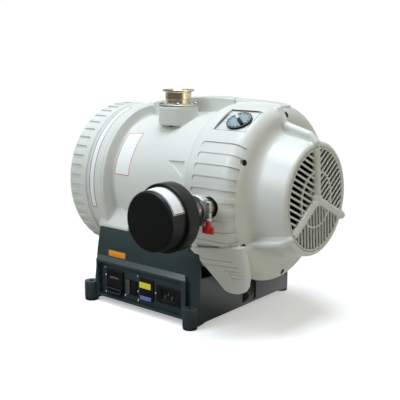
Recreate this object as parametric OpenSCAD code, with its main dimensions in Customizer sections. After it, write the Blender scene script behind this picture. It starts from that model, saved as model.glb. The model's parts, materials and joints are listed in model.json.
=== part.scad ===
// Dry scroll vacuum pump on a powered base, built as separate pieces.
// X runs along the pump's centre line with the fan grille at +X, the control panel
// and the silencer face -Y, and Z is up. The origin is the middle of the four
// fixing holes, on the surface that the pump stands on.

/* [Whole pump] */
// Height of the pump's centre line above the floor
axis_h = 219; // [212:1:228]
// Length of the inlet fitting above its boss
inlet_len = 28.5; // [26:0.5:32]

/* [Base] */
// Distance between fixing holes along the pump
foot_dx = 240; // [232:1:250]
// Distance between fixing holes across the pump
foot_dy = 275; // [270:1:284]
// Radius of a fixing hole
foot_hole_r = 4.5; // [3.5:0.5:6]
// Radius of a corner boss
boss_r = 13; // [12:0.5:15]
// Height of a corner boss above the floor
boss_h = 36; // [28:1:44]
// Thickness of the rubber pad below a boss
pad_t = 5; // [3:0.5:7]
// How far the base's left wall stands inside the line of its fixing holes
left_inset = 2; // [0:0.5:5]
// How far the base's right wall stands outside the line of its fixing holes
right_outset = 14; // [13:0.5:18]
// How far the base's front wall stands inside the line of its fixing holes
front_inset = 7.5; // [6:0.5:8.5]
// Height of the front housing's top at the left, above the floor
case_h = 140; // [136:0.5:140]
// Height of the front housing's top at the right, above the floor
case_low_h = 128; // [124:0.5:130]
// Gap below the base's walls
case_gap = 8; // [6:0.5:9]
// Thickness of the base's walls
case_wall = 4; // [3:0.5:6]
// Height of the low rear wall above the floor
rear_wall_h = 44; // [40:1:50]

/* [Control console] */
// How far the console stands out from the front wall
console_out = 8; // [6:0.5:10]
// Height of the console's top above the floor
console_h = 88; // [84:1:94]
// Width of the console
console_w = 216; // [212:1:220]
// Bevel round the console's top and right edges
console_bevel = 9; // [6:0.5:9]
// Thickness of the control panel
panel_t = 2.5; // [2:0.25:3]

/* [Pump housing] */
// Radius of the housing's front flange
band_r = 139; // [137:0.5:141]
// Width of the front flange
band_w = 44.5; // [42:0.5:46]
// Place of the flange's right face on the centre line
band_x = -82.5; // [-84:0.5:-80]
// Radius of the housing where it leaves the flange
cone_r = 116; // [114:0.5:120]
// Radius of the housing where the motor cowl starts
cone_end_r = 135.5; // [133:0.5:137]
// Place of the housing's right end on the centre line
cone_end_x = 106; // [104:0.5:108]
// Wall of the housing
body_wall = 7; // [5:0.5:8]
// Radius of the scroll chamber
chamber_r = 122; // [118:0.5:126]

/* [Scroll set] */
// Pitch of the scroll walls
scroll_pitch = 22; // [21.5:0.25:23]
// Thickness of a scroll wall
scroll_wall = 5; // [4.5:0.1:5.2]
// Height of a scroll wall
scroll_h = 28; // [26:0.5:28]
// Turns of a scroll wall
scroll_turns = 3.5; // [2.5:0.25:3.5]
// Clearance between scroll walls where they pass closest
scroll_gap = 0.5; // [0.45:0.05:0.8]
// Thickness of the fixed scroll's plate
fixed_plate = 6; // [5:0.5:8]
// Height of the fixed scroll's cooling fins
fixed_fin_h = 25; // [20:1:28]
// Thickness of the orbiting scroll's plate
orbit_plate = 8; // [7:0.5:8.5]

/* [Scroll cover] */
// Radius of the ribbed cover
cover_r = 139.5; // [138:0.5:142]
// Length of the ribbed ring
cover_len = 38; // [34:1:42]
// How far the end of the cover stands past the ribbed ring
cover_nose = 13; // [9:0.5:15]
// Wall of the cover
cover_wall = 3.5; // [3:0.25:4.5]
// Flutes round the cover
flute_n = 48; // [36:1:56]
// Length of a flute
flute_len = 27; // [20:1:30]

/* [Inlet] */
// Place of the inlet along the centre line
inlet_x = 18.6; // [14:0.2:22]
// Distance of the inlet in front of the centre line
inlet_y = 49.3; // [47:0.1:50]
// Radius of the inlet boss
inlet_boss_r = 34.8; // [34:0.2:36]
// How far the inlet boss stands above the housing's highest line there
inlet_stand = 16; // [12:0.5:20]
// Outer radius of the inlet flange, 40 mm size
inlet_flange_r = 27.5; // [27:0.1:28]
// Bore radius of the inlet flange
inlet_bore_r = 20.5; // [19.5:0.1:20.9]
// Outer radius of the inlet tube
inlet_tube_r = 22.5; // [22:0.1:23]

/* [Motor and shaft] */
// Radius of the main shaft
shaft_r = 17.5; // [16:0.25:18.5]
// Radius of the crank pin
pin_r = 12.5; // [11:0.25:13.5]
// Outer radius of the main bearings
bearing_r = 36; // [33:0.5:38]
// Width of one main bearing
bearing_w = 16; // [14:0.5:17]
// Outer radius of the motor frame
frame_r = 88; // [84:0.5:90]
// Inner radius of the motor frame
frame_bore_r = 78; // [74:0.5:80]
// Radius of the rotor
rotor_r = 45; // [40:0.5:50]
// Air gap between rotor and stator
air_gap = 0.6; // [0.4:0.1:1]
// Length of the stator
stator_len = 80; // [70:1:84]
// Radius of the cooling fan
fan_r = 77; // [70:0.5:80]
// Blades of the cooling fan
fan_blades = 9; // [6:1:11]

/* [Motor cowl] */
// Outer radius of the cowl
cowl_r = 150; // [148:0.5:152]
// Place of the cowl's left edge on the centre line
cowl_x = 108; // [107.5:0.5:110]
// Place of the cowl's shoulder face on the centre line
shoulder_x = 213; // [210:0.5:216]
// Radius of the rounded shoulder
shoulder_r = 26; // [20:0.5:28]
// Radius of the nose where it leaves the shoulder
nose_r = 105; // [102:0.5:107]
// Radius of the nose at the grille end
nose_end_r = 95; // [93:0.5:97]
// Place of the nose's end on the centre line
nose_x = 274; // [271:0.5:277]
// Wall of the cowl
cowl_wall = 3.5; // [3:0.25:4]
// Radius of the fan grille
grille_r = 85; // [83:0.5:87]
// Angle between the cowl's shallow grooves
groove_step = 7.4; // [7:0.1:8]
// Grooves above and below the middle of each side
groove_rows = 5; // [3:1:6]
// Height of the skirt's lower edge above the floor
skirt_h = 73; // [68:1:78]

/* [Gas ballast] */
// Place of the dial along the centre line
dial_x = 171; // [168:0.5:173]
// Angle of the dial round the cowl, from the far side upwards
dial_angle = 121; // [119:0.5:122]
// Radius of the gas ballast knob
knob_r = 23; // [20:0.5:24]

/* [Exhaust] */
// Place of the exhaust port along the centre line
port_x = 168.7; // [167:0.1:171]
// Height of the exhaust port above the floor
port_h = 215.5; // [213:0.5:218]
// Outer radius of the exhaust flange, 25 mm size
port_flange_r = 20; // [19.5:0.1:20.5]
// Bore radius of the exhaust port
port_bore_r = 12.5; // [11.5:0.1:12.8]
// Outer radius of the exhaust pipe
port_tube_r = 14; // [13.5:0.1:14.2]
// Outer radius of the clamp ring
clamp_r = 25; // [24.5:0.1:26]
// Width of the clamp ring
clamp_w = 14; // [12:0.5:14]

/* [Silencer] */
// Place of the silencer's middle along the centre line
silencer_x = 138.5; // [136:0.5:141]
// Height of the silencer's middle above the floor
silencer_h = 205.7; // [203:0.1:208]
// Radius of the rear cup
rear_cup_r = 54; // [52:0.5:56]
// Radius of the front cup at its face
front_cup_r = 46.5; // [45:0.5:48]
// Length of the rear cup
rear_cup_len = 30; // [26:1:32]
// Length of the front cup
front_cup_len = 26; // [24:1:30]
// Wall of the cups
cup_wall = 2.5; // [2:0.25:3]

/* [Hidden] */
$fn = 72;

// Paint and material colours
dark_blue = [0.23, 0.3, 0.32];
off_white = [0.85, 0.86, 0.83];
rubber_black = [0.08, 0.08, 0.08];
plastic_black = [0.12, 0.13, 0.13];
bare_metal = [0.72, 0.72, 0.7];
cast_metal = [0.62, 0.63, 0.62];
warm_metal = [0.75, 0.66, 0.5];
seal_white = [0.93, 0.92, 0.88];
wire_copper = [0.72, 0.42, 0.2];
label_white = [0.97, 0.97, 0.96];

// One overrun for every cut, and the clearances between pieces
over = 1;
fit_gap = 0.2;
face_gap = 0.3;
run_gap = 0.05;
thread_gap = 0.1;

// Places that several pieces share
case_left = foot_dx / 2 - left_inset;
case_right = foot_dx / 2 + right_outset;
case_front = foot_dy / 2 - front_inset;
cone_slope = (cone_end_r - cone_r) / (cone_end_x - band_x);
function cone_at(x) = cone_r + cone_slope * (x - band_x);
inlet_boss_h = axis_h + cone_at(inlet_x) + inlet_stand;
inlet_h = inlet_boss_h + inlet_len;

// Turns a solid drawn along Z so that it lies along X, on the pump's centre line
module on_axis() {
    translate([0, 0, axis_h]) rotate([90, 0, 90]) children();
}

// A ring on the centre line, from one place along X to another
module ring_x(x0, x1, r_out, r_in) {
    translate([x0, 0, 0]) on_axis() difference() {
        cylinder(r = r_out, h = x1 - x0);
        translate([0, 0, -over]) cylinder(r = r_in, h = x1 - x0 + 2 * over);
    }
}

// A solid turned about the centre line from an outline of [x, radius] points
module spin_x(outline) {
    on_axis() rotate_extrude() polygon([for (p = outline) [p[1], p[0]]]);
}

// Turns a piece about the centre line, from the far side upwards
module at_angle(a) {
    translate([0, 0, axis_h]) rotate([a, 0, 0]) children();
}

// A prism from an outline of [y, z] points, between two places along X
module along_x(x0, x1, outline) {
    translate([x0, 0, 0]) rotate([90, 0, 90]) linear_extrude(x1 - x0) polygon(outline);
}

// A prism from an outline of [x, z] points, between two places along Y
module along_y(y0, y1, outline) {
    translate([0, y1, 0]) rotate([90, 0, 0]) linear_extrude(y1 - y0) polygon(outline);
}

// A block on the console's panel, [left, bottom] to [right, top], standing out to a face
module panel_block(low, high, back, out) {
    translate([low[0], -out, low[1]]) cube([high[0] - low[0], out - back, high[1] - low[1]]);
}

// A place given as shares of the way from one corner to the other
function between(low, high, share) =
    [low[0] + (high[0] - low[0]) * share[0], low[1] + (high[1] - low[1]) * share[1]];

// Points on an arc about a centre, from one angle to another
function arc_points(centre, r, a0, a1, n) =
    [for (i = [0 : n]) let (a = a0 + (a1 - a0) * i / n) centre + r * [cos(a), sin(a)]];

// Base
left_lean = 14;
lean_h = 40;
flat_top_end = -30;
brow_h = 104;
brow_back = 3;
ridge_w = 10;
slope_foot = 54;
pocket_r = 154;
pocket_x = 104;
skirt_front = 125.6;
deck_t = 4;
foot_gusset = 34;
wall_step_y = 125.5;
wall_step_h = 86;
wall_bend_y = 97;
wall_drop_y = 40;
notch_y = 19;
notch_w = 20;

case_front_view = [[-case_left, case_gap], [-case_left, lean_h], [-case_left + left_lean, case_h],
    [flat_top_end, case_h], [case_right, case_low_h], [case_right, case_gap]];

function case_side_view(t) = [[-case_front + t, case_gap - over], [-case_front + t, brow_h],
    [-case_front + brow_back + t, case_h - t + over],
    [-case_front + brow_back + ridge_w - t, case_h - t + over],
    [-slope_foot - t, rear_wall_h], [-slope_foot - t, rear_wall_h - over],
    [-slope_foot - t, case_gap - over]];

module case_shell() {
    difference() {
        intersection() {
            along_y(-case_front - over, case_front + over, case_front_view);
            union() {
                along_x(-case_left - over, case_right + over, case_side_view(0));
                translate([-case_left - over, -case_front + over, 0])
                    cube([case_left + case_right + 2 * over, 2 * case_front - 2 * over, rear_wall_h]);
            }
        }
        intersection() {
            along_x(-case_left + left_lean + case_wall, case_right - case_wall, case_side_view(case_wall));
            translate([0, 0, -case_wall]) along_y(-case_front, 0, case_front_view);
        }
        translate([-case_left + case_wall, -case_front + case_wall, -over])
            cube([case_left + case_right - 2 * case_wall, 2 * (case_front - case_wall) - over,
                lean_h]);
        translate([-case_left + case_wall, -slope_foot - case_wall, -over])
            cube([case_left + case_right - 2 * case_wall, case_front + slope_foot - over,
                case_h]);
    }
}

module foot_places() {
    for (sx = [-1, 1], sy = [-1, 1]) translate([sx * foot_dx / 2, sy * foot_dy / 2, 0]) children();
}

module base_casing() color(dark_blue) difference() {
    union() {
        case_shell();
        console_frame();
        for (sx = [-1, 1], sy = [-1, 1])
            translate([sx * foot_dx / 2, sy * foot_dy / 2, pad_t]) cylinder(r = boss_r, h = boss_h - pad_t);
        for (sx = [-1, 1], sy = [0, 1]) mirror([0, sy, 0])
            along_x(sx * foot_dx / 2 - boss_r, sx * foot_dx / 2 + boss_r, [[-foot_dy / 2, pad_t],
                [-foot_dy / 2 + boss_r, pad_t], [-foot_dy / 2 + foot_gusset, case_gap + over],
                [-foot_dy / 2 + foot_gusset, boss_h - case_wall], [-foot_dy / 2, boss_h - case_wall]]);
    }
    foot_places() translate([0, 0, -over]) cylinder(r = foot_hole_r, h = case_h);
    along_x(case_right - case_wall - over, case_right + over, [[-wall_step_y, case_h],
        [-wall_step_y, wall_step_h], [-wall_bend_y, wall_step_h - over],
        [-wall_drop_y, rear_wall_h + case_wall], [-wall_drop_y, case_h]]);
    translate([case_right - case_wall - over, notch_y - notch_w / 2, case_gap + case_wall])
        cube([case_wall + 2 * over, notch_w, case_h]);
    translate([pocket_x, 0, 0]) on_axis() cylinder(r = pocket_r, h = case_right);
    along_y(-skirt_front, -slope_foot, [for (p = skirt_outline) p - [case_wall, case_wall]]);
    panel_window();
}

module base_plate() color(dark_blue) difference() {
    translate([-case_left + case_wall + fit_gap, -case_front + case_wall + fit_gap, case_gap])
        cube([case_left + case_right - 2 * (case_wall + fit_gap),
            2 * (case_front - case_wall - fit_gap) - over, deck_t]);
    foot_places() translate([-foot_gusset, -foot_gusset, -over])
        cube([2 * foot_gusset, 2 * foot_gusset, boss_h]);
}

module foot_pads() color(rubber_black) foot_places() difference() {
    cylinder(r = boss_r - pad_inset, h = pad_t);
    translate([0, 0, -over]) cylinder(r = foot_hole_r, h = pad_t + 2 * over);
}
pad_inset = 0.5;

// Console on the front of the base
console_left = -106;
console_foot = 12;
window_left = -101;
window_right = 100;
window_low = 15;
window_high = 76;
panel_back = case_front - panel_t - fit_gap;

module console_frame() difference() {
    along_y(-case_front - console_out, -case_front + over, [[console_left, console_foot],
        [console_left, console_h], [console_left + console_w, console_h],
        [console_left + console_w, console_foot]]);
    along_x(console_left - over, console_left + console_w + over,
        [[-case_front - console_out - over, console_h - console_bevel],
        [-case_front, console_h + over], [-case_front - console_out - over, console_h + over]]);
    translate([console_left + console_w, -case_front - console_out, console_foot - over])
        rotate([0, 0, 45]) cube([console_bevel, console_bevel, console_h], center = false);
}

module panel_window() {
    translate([window_left, -case_front - console_out - over, window_low])
        cube([window_right - window_left, console_out + case_wall + 2 * over, window_high - window_low]);
}

module control_panel() color(plastic_black)
    panel_block([window_left + fit_gap, window_low + fit_gap],
        [window_right - fit_gap, window_high - fit_gap], panel_back, panel_back + panel_t);

panel_face = panel_back + panel_t;
drive_left = -90;
drive_right = 84;
drive_back = 66;
drive_low = window_low + fit_gap;
drive_high = 48;

module drive_unit() color(bare_metal)
    panel_block([drive_left, drive_low], [drive_right, drive_high], drive_back, panel_back - fit_gap);

// Items on the panel, as [left, bottom] and [right, top]
connector_low = [-83, 20];
connector_high = [-42, 65];
connector_out = 4;
serial_low = [-79, 23];
serial_high = [-46, 31];
serial_out = 3;
strip_low = [-35.5, 27];
strip_high = [-25, 54];
strip_out = 3;
selector_low = [-2, 24];
selector_high = [32, 64];
selector_out = 2.5;
plate_t = 0.6;
yellow_low = [-1, 45.7];
yellow_high = [26, 56.5];
blue_low = [0, 24.5];
blue_high = [26.5, 31.5];
mains_low = [39, 29];
mains_high = [95, 59];
mains_out = 3;
socket_low = [50.5, 34];
socket_high = [80, 53];
pin_w = 2;
pin_h = 5;
pin_shares = [[0.58, 0.66], [0.32, 0.34], [0.85, 0.34]];
bar_low = [-78, 48];
bar_high = [-52, 53];

module control_connector() color(plastic_black) difference() {
    panel_block(connector_low, connector_high, panel_face, panel_face + connector_out);
    panel_block(serial_low - [fit_gap, fit_gap], serial_high + [fit_gap, fit_gap],
        panel_face + connector_out / 2, panel_face + connector_out + over);
    panel_block(bar_low, bar_high, panel_face + connector_out / 2, panel_face + connector_out + over);
}

module serial_socket() color(bare_metal) difference() {
    panel_block(serial_low, serial_high, panel_face + connector_out / 2,
        panel_face + connector_out + serial_out);
    panel_block(serial_low + [socket_rim, socket_rim], serial_high - [socket_rim, socket_rim],
        panel_face + connector_out, panel_face + connector_out + serial_out + over);
}
socket_rim = 1.5;

module status_strip() color(bare_metal)
    panel_block(strip_low, strip_high, panel_face, panel_face + strip_out);

module voltage_selector() color(plastic_black)
    panel_block(selector_low, selector_high, panel_face, panel_face + selector_out);

module setting_plates() {
    color("gold") panel_block(yellow_low, yellow_high, panel_face + selector_out,
        panel_face + selector_out + plate_t);
    color("cornflowerblue") panel_block(blue_low, blue_high, panel_face + selector_out,
        panel_face + selector_out + plate_t);
    color("orange") panel_block(orange_low, orange_high, case_front, case_front + plate_t);
}
orange_low = [-79.6, 89.5];
orange_high = [-37.5, 100.5];

module mains_inlet() color(plastic_black) difference() {
    panel_block(mains_low, mains_high, panel_face, panel_face + mains_out);
    panel_block(socket_low, socket_high, panel_face + plate_t, panel_face + mains_out + over);
}

module mains_pins() color(bare_metal) for (share = pin_shares) {
    p = between(socket_low, socket_high, share);
    panel_block(p - [pin_w, pin_h] / 2, p + [pin_w, pin_h] / 2, panel_face + plate_t, panel_face + mains_out);
}

// Screws that hold the panel and the items on it
screw_r = 2.4;
screw_out = 1.8;
panel_screw_shares = [[0.055, 0.836], [0.065, 0.59], [0.065, 0.066], [0.309, 0.115], [0.469, 0.816],
    [0.472, 0.348], [0.471, 0.072], [0.682, 0.443], [0.9876, 0.454], [0.98, 0.836], [0.98, 0.066]];

module panel_screws() color(bare_metal) for (share = panel_screw_shares) {
    p = between([window_left, window_low], [window_right, window_high], share);
    translate([p[0], -panel_face, p[1]]) rotate([90, 0, 0]) cylinder(r = screw_r, h = screw_out);
}

module front_plate() color(dark_blue)
    panel_block([strip_high[0] + strip_gap, strip_low[1]], [-selector_out - strip_gap * 3, strip_high[1]],
        panel_face, panel_face + selector_out);
strip_gap = 2;

// Rubber mounts and the bracket that they carry
mount_r = 15;
mount_y = 22;
mount_left = -58;
mount_right = 108;
bracket_w = 46;
bracket_low = 56;
bracket_high = 64;
bracket_over = 18;
lug_right = 80;
mount_waist = 3;

module mount_places() {
    for (x = [mount_left, mount_right], sy = [-1, 1]) translate([x, sy * mount_y, 0]) children();
}

module rubber_mounts() color(rubber_black) mount_places() translate([0, 0, case_gap + deck_t]) {
    tall = bracket_low - case_gap - deck_t;
    rotate_extrude() polygon([[0, 0], [mount_r, 0], [mount_r, mount_waist],
        [mount_r - mount_waist, 2 * mount_waist], [mount_r - mount_waist, tall - 2 * mount_waist],
        [mount_r, tall - mount_waist], [mount_r, tall], [0, tall]]);
}

module mount_bracket() color(dark_blue)
    translate([mount_left - bracket_over, -bracket_w, bracket_low])
        cube([mount_right - mount_left + 2 * bracket_over, 2 * bracket_w, bracket_high - bracket_low]);

// Pump housing
seam_x = band_x - band_w;
shelf_x = band_x - body_wall / 2;
inner_r = cone_r - body_wall;
foot_left = -108;
foot_right = -34;
foot_out = 127;
foot_top = 176;
foot_edge = 6;
foot_lean = 18;
lug_w = 36;
edge_round = 2;

housing_outline = concat([[seam_x, chamber_r]], [[seam_x, band_r - edge_round], [seam_x + edge_round, band_r],
    [band_x - edge_round, band_r], [band_x, band_r - edge_round], [band_x, cone_r],
    [cone_end_x, cone_end_r], [cone_end_x, cone_end_r - body_wall]],
    [[shelf_x, inner_r], [shelf_x, chamber_r]]);

housing_space = [[seam_x - over, 0], [seam_x - over, chamber_r], [shelf_x, chamber_r], [shelf_x, inner_r],
    [cone_end_x + over, cone_at(cone_end_x + over) - body_wall], [cone_end_x + over, 0]];

module pump_housing() color(off_white) difference() {
    union() {
        spin_x(housing_outline);
        translate([inlet_x, -inlet_y, axis_h]) cylinder(r = inlet_boss_r, h = inlet_boss_h - axis_h);
        along_x(foot_left, foot_right, [[-foot_out, case_h + fit_gap], [-foot_out, case_h + foot_edge],
            [-cone_r * cos(foot_lean), foot_top], [-inner_r, foot_top],
            [-foot_out + ridge_w * 2, case_h + fit_gap]]);
        for (x = [mount_left, lug_right], sy = [-1, 1])
            translate([x - lug_w / 2, sy * mount_y - lug_w / 2, bracket_high])
                cube([lug_w, lug_w, cone_r - bracket_high]);
    }
    spin_x(housing_space);
    translate([inlet_x, -inlet_y, axis_h]) cylinder(r = inlet_throat_r, h = inlet_h - axis_h);
    for (a = inlet_screw_angles) translate([inlet_x + inlet_screw_ring * cos(a),
        -inlet_y + inlet_screw_ring * sin(a), inlet_boss_h - inlet_screw_len])
        cylinder(r = small_hole_r, h = inlet_screw_len + over);
}

// Scroll set. The walls follow the involute of a circle, so they stay parallel.
involute_r = scroll_pitch / (2 * PI);
orbit_r = scroll_pitch / 2 - scroll_wall - scroll_gap;
scroll_start = 460;
scroll_step = 15;
seal_w = 2;
seal_depth = 2;
seal_out = 0.1;
tip_gap = 0.3;
fixed_face = seam_x - fit_gap;
orbit_face = fixed_face + scroll_h + tip_gap;
orbit_room = 2.5;
orbit_plate_r = chamber_r - orbit_r - orbit_room;
fixed_plate_r = 134;
fin_pitch = 14;
fin_t = 4;
fin_count = 15;
hub_r = 32;
crank_bearing_r = 24;
hub_len = 30;

function involute_point(t, side) = let (u = (t * PI / 180 - side / involute_r))
    involute_r * [cos(t) + u * sin(t), sin(t) - u * cos(t)];

module spiral(w, h, shorten) {
    first = scroll_start + shorten;
    last = scroll_start + scroll_turns * 360 - shorten;
    linear_extrude(h) polygon(concat(
        [for (t = [first : scroll_step : last]) involute_point(t, w / 2)],
        [for (t = [last : -scroll_step : first]) involute_point(t, -w / 2)]));
}

module fixed_scroll() color(cast_metal) {
    difference() {
        union() {
            translate([fixed_face - fixed_plate, 0, 0]) on_axis()
                cylinder(r = fixed_plate_r, h = fixed_plate);
            translate([fixed_face - fixed_plate / 2, 0, 0]) on_axis()
                spiral(scroll_wall, scroll_h + fixed_plate / 2, 0);
            intersection() {
                translate([fixed_face - fixed_plate - fixed_fin_h, 0, 0]) on_axis()
                    cylinder(r = fixed_plate_r - fin_pitch, h = fixed_fin_h + fixed_plate / 2);
                for (i = [0 : fin_count - 1]) translate([fixed_face - fixed_plate - fixed_fin_h,
                    (i - (fin_count - 1) / 2) * fin_pitch - fin_t / 2, axis_h - fixed_plate_r])
                    cube([fixed_fin_h + fixed_plate / 2, fin_t, 2 * fixed_plate_r]);
            }
        }
        translate([fixed_face + scroll_h - seal_depth, 0, 0]) on_axis()
            spiral(seal_w + 2 * seal_out, seal_depth + over, scroll_step);
    }
}

module fixed_tip_seal() color(seal_white) translate([fixed_face + scroll_h - seal_depth, 0, 0])
    on_axis() spiral(seal_w, seal_depth + seal_out, scroll_step * 2);

module orbiting_scroll() color(cast_metal) translate([0, 0, orbit_r]) difference() {
    union() {
        translate([orbit_face, 0, 0]) on_axis() cylinder(r = orbit_plate_r, h = orbit_plate);
        translate([orbit_face - scroll_h, 0, 0]) on_axis() rotate([0, 0, 180])
            spiral(scroll_wall, scroll_h + orbit_plate / 2, 0);
        translate([orbit_face + orbit_plate / 2, 0, 0]) on_axis()
            cylinder(r = hub_r, h = hub_len + orbit_plate / 2);
    }
    translate([orbit_face + orbit_plate, 0, 0]) on_axis()
        cylinder(r = crank_bearing_r + fit_gap, h = hub_len + over);
    translate([orbit_face - scroll_h - over, 0, 0]) on_axis() rotate([0, 0, 180])
        spiral(seal_w + 2 * seal_out, seal_depth + over, scroll_step);
}

module orbiting_tip_seal() color(seal_white) translate([orbit_face - scroll_h - seal_out, 0, orbit_r])
    on_axis() rotate([0, 0, 180]) spiral(seal_w, seal_depth + seal_out, scroll_step * 2);

bearing_gap = 4;
bearing_low = orbit_face + orbit_plate + bearing_gap;
crank_bearing_w = 22;

module crank_bearing() color(bare_metal) translate([0, 0, orbit_r])
    ring_x(bearing_low, bearing_low + crank_bearing_w, crank_bearing_r, pin_r + run_gap);

// Bellows between the moving scroll's back and the bearing carrier
bellows_left = orbit_face + orbit_plate + bearing_gap;
bellows_right = 41.8;
bellows_in = 63;
bellows_out = 74;
bellows_t = 1.2;
bellows_folds = 14;
bellows_ring = 6;

module bellows() color(bare_metal) {
    fold = (bellows_right - bellows_left - 2 * bellows_ring) / bellows_folds;
    outer = [for (i = [0 : bellows_folds]) each [
        [bellows_left + bellows_ring + i * fold, bellows_in + bellows_t],
        if (i < bellows_folds) [bellows_left + bellows_ring + (i + 1 / 2) * fold, bellows_out]]];
    inner = [for (p = outer) p - [0, bellows_t]];
    spin_x(concat([[bellows_left, bellows_in], [bellows_left, bellows_out]],
        [[bellows_left + bellows_ring, bellows_out]], outer,
        [[bellows_right - bellows_ring, bellows_out], [bellows_right, bellows_out],
        [bellows_right, bellows_in]],
        [for (i = [len(inner) - 1 : -1 : 0]) inner[i]]));
}

// Bearings and what carries them
carrier_left = 42;
carrier_t = 12;
carrier_hub_r = 46;
carrier_hub_left = -20;
carrier_lip = 4;
bearing_1 = -16;
bearing_2 = 32;

module bearing_carrier() color(cast_metal) {
    spin_x([[carrier_hub_left, bearing_r - carrier_lip], [carrier_hub_left, carrier_hub_r],
        [carrier_left - carrier_lip, carrier_hub_r], [carrier_left, carrier_hub_r + carrier_lip],
        [carrier_left, cone_at(carrier_left) - body_wall - fit_gap],
        [carrier_left + carrier_t, cone_at(carrier_left) - body_wall - fit_gap],
        [carrier_left + carrier_t, bearing_r + fit_gap],
        [bearing_1 - fit_gap, bearing_r + fit_gap], [bearing_1 - fit_gap, bearing_r - carrier_lip]]);
}

module main_bearings() color(bare_metal) {
    for (x = [bearing_1, bearing_2]) ring_x(x, x + bearing_w, bearing_r, shaft_r + run_gap);
}

// Shaft, with a crank pin off its centre
pin_end = bearing_low - bearing_gap / 2;
web_left = bearing_low + crank_bearing_w + bearing_gap;
web_t = 10;
web_r = 27;
weight_left = web_left + web_t + fit_gap;
weight_t = 14;
weight_r = 54;
shaft_end = 262;

module crankshaft() color(bare_metal) {
    translate([pin_end, 0, orbit_r]) on_axis() cylinder(r = pin_r, h = web_left - pin_end + over);
    translate([web_left, 0, 0]) on_axis() cylinder(r = web_r, h = web_t);
    translate([web_left + over, 0, 0]) on_axis() cylinder(r = shaft_r, h = shaft_end - web_left - over);
}

module counterweight() color(cast_metal) translate([weight_left, 0, 0]) on_axis() difference() {
    union() {
        cylinder(r = web_r, h = weight_t);
        intersection() {
            cylinder(r = weight_r, h = weight_t);
            translate([-weight_r, -weight_r, 0]) cube([2 * weight_r, weight_r, weight_t]);
        }
    }
    translate([0, 0, -over]) cylinder(r = shaft_r + fit_gap, h = weight_t + 2 * over);
}

// Motor
motor_left = carrier_left + carrier_t + fit_gap;
motor_right = 168;
stator_left = 72;
winding_len = 14;
winding_in = 52;
winding_out = 72;
fin_h = 5;
motor_fins = 24;

module motor_frame() color(cast_metal) difference() {
    union() {
        ring_x(motor_left, motor_right, frame_r - fin_h, frame_bore_r);
        for (i = [0 : motor_fins - 1]) at_angle(i * 360 / motor_fins)
            translate([motor_left, frame_r - fin_h - over, -fin_t / 2])
                cube([motor_right - motor_left, fin_h + over, fin_t]);
    }
}

module stator() color("slategray") ring_x(stator_left, stator_left + stator_len,
    frame_bore_r - fit_gap, rotor_r + air_gap);

module end_windings() color(wire_copper) {
    for (x = [stator_left - winding_len - fit_gap, stator_left + stator_len + fit_gap])
        ring_x(x, x + winding_len, winding_out, winding_in);
}

module rotor() color(bare_metal) ring_x(stator_left, stator_left + stator_len, rotor_r, shaft_r + fit_gap);

rear_left = motor_right + fit_gap;
rear_t = 18;
rear_web = 6;
rear_bearing_r = 30;
rear_bearing_w = 12;
rear_hub_r = 38;

module rear_bracket() color(cast_metal) spin_x([[rear_left, rear_bearing_r - carrier_lip],
    [rear_left, frame_r - fin_h], [rear_left + rear_web, frame_r - fin_h], [rear_left + rear_web, rear_hub_r],
    [rear_left + rear_t, rear_hub_r], [rear_left + rear_t, rear_bearing_r + fit_gap],
    [rear_left + rear_t - rear_bearing_w - fit_gap, rear_bearing_r + fit_gap],
    [rear_left + rear_t - rear_bearing_w - fit_gap, rear_bearing_r - carrier_lip]]);

module rear_bearing() color(bare_metal) ring_x(rear_left + rear_t - rear_bearing_w, rear_left + rear_t,
    rear_bearing_r, shaft_r + run_gap);

fan_left = 222;
fan_w = 30;
fan_hub_r = 30;
blade_t = 3;
fan_disc = 3;

module cooling_fan() color(plastic_black) difference() {
    union() {
        ring_x(fan_left, fan_left + fan_w, fan_hub_r, shaft_r + fit_gap);
        ring_x(fan_left, fan_left + fan_disc, fan_r, fan_hub_r - over);
        for (i = [0 : fan_blades - 1]) at_angle(i * 360 / fan_blades)
            translate([fan_left, fan_hub_r - over, -blade_t / 2])
                cube([fan_w, fan_r - fan_hub_r + over - blade_t, blade_t]);
    }
}

// Motor cowl
edge_r = 10;
lip_depth = 4;
edge_drop = 1;
throat_r = 18;
rim_r = 7;
nose_lean = atan((nose_r - nose_end_r) / (nose_x - shoulder_x));
throat_centre = [shoulder_x + throat_r, nose_r - throat_r * tan(nose_lean) + throat_r / cos(nose_lean)];
tube_r = 6.3;
tube_joint = 0.25;
rib_turn = 5;
rib_angles = [for (k = [0 : 2]) 90 + rib_turn + k * 120];
screw_ring = 133.8;
screw_count = 6;
recess_r = 4.8;
recess_x = 204;
boss_out = 8;
boss_x = 196;
small_hole_r = 2.5;
post_r = 4.6;
post_left = cone_end_x + fit_gap;
groove_left = 130;
groove_right = 208;
groove_w = 2.4;
groove_d = 1.2;
exhaust_hole_r = 17;
dial_panel_l = 62;
dial_panel_w = 58;
dial_panel_x = 167;
dial_panel_angle = 120.3;
panel_top_r = 145;
panel_plate_t = 3;
arc_n = 8;

function cowl_line(w) = concat(
    arc_points([cowl_x + edge_r, cowl_r - edge_r], edge_r - w, 180, 90, arc_n),
    arc_points([shoulder_x - shoulder_r, cowl_r - shoulder_r], shoulder_r - w, 90, 0, arc_n),
    arc_points(throat_centre, throat_r + w, 180, 270 - nose_lean, arc_n));
cowl_outside = concat([[cowl_x, 0]], cowl_line(0),
    arc_points([nose_x - rim_r, nose_end_r - rim_r], rim_r, 90 - nose_lean, 0, arc_n), [[nose_x, 0]]);
cowl_inside = concat([[cowl_x - over, 0], [cowl_x - over, cowl_r - edge_r - edge_drop],
    [cowl_x + cowl_wall, cowl_r - edge_r - edge_drop]], cowl_line(cowl_wall),
    [[nose_x - lip_depth, nose_end_r - cowl_wall], [nose_x - lip_depth, grille_r + fit_gap],
    [nose_x + tube_r * 2, grille_r + fit_gap], [nose_x + tube_r * 2, 0]]);

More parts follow.
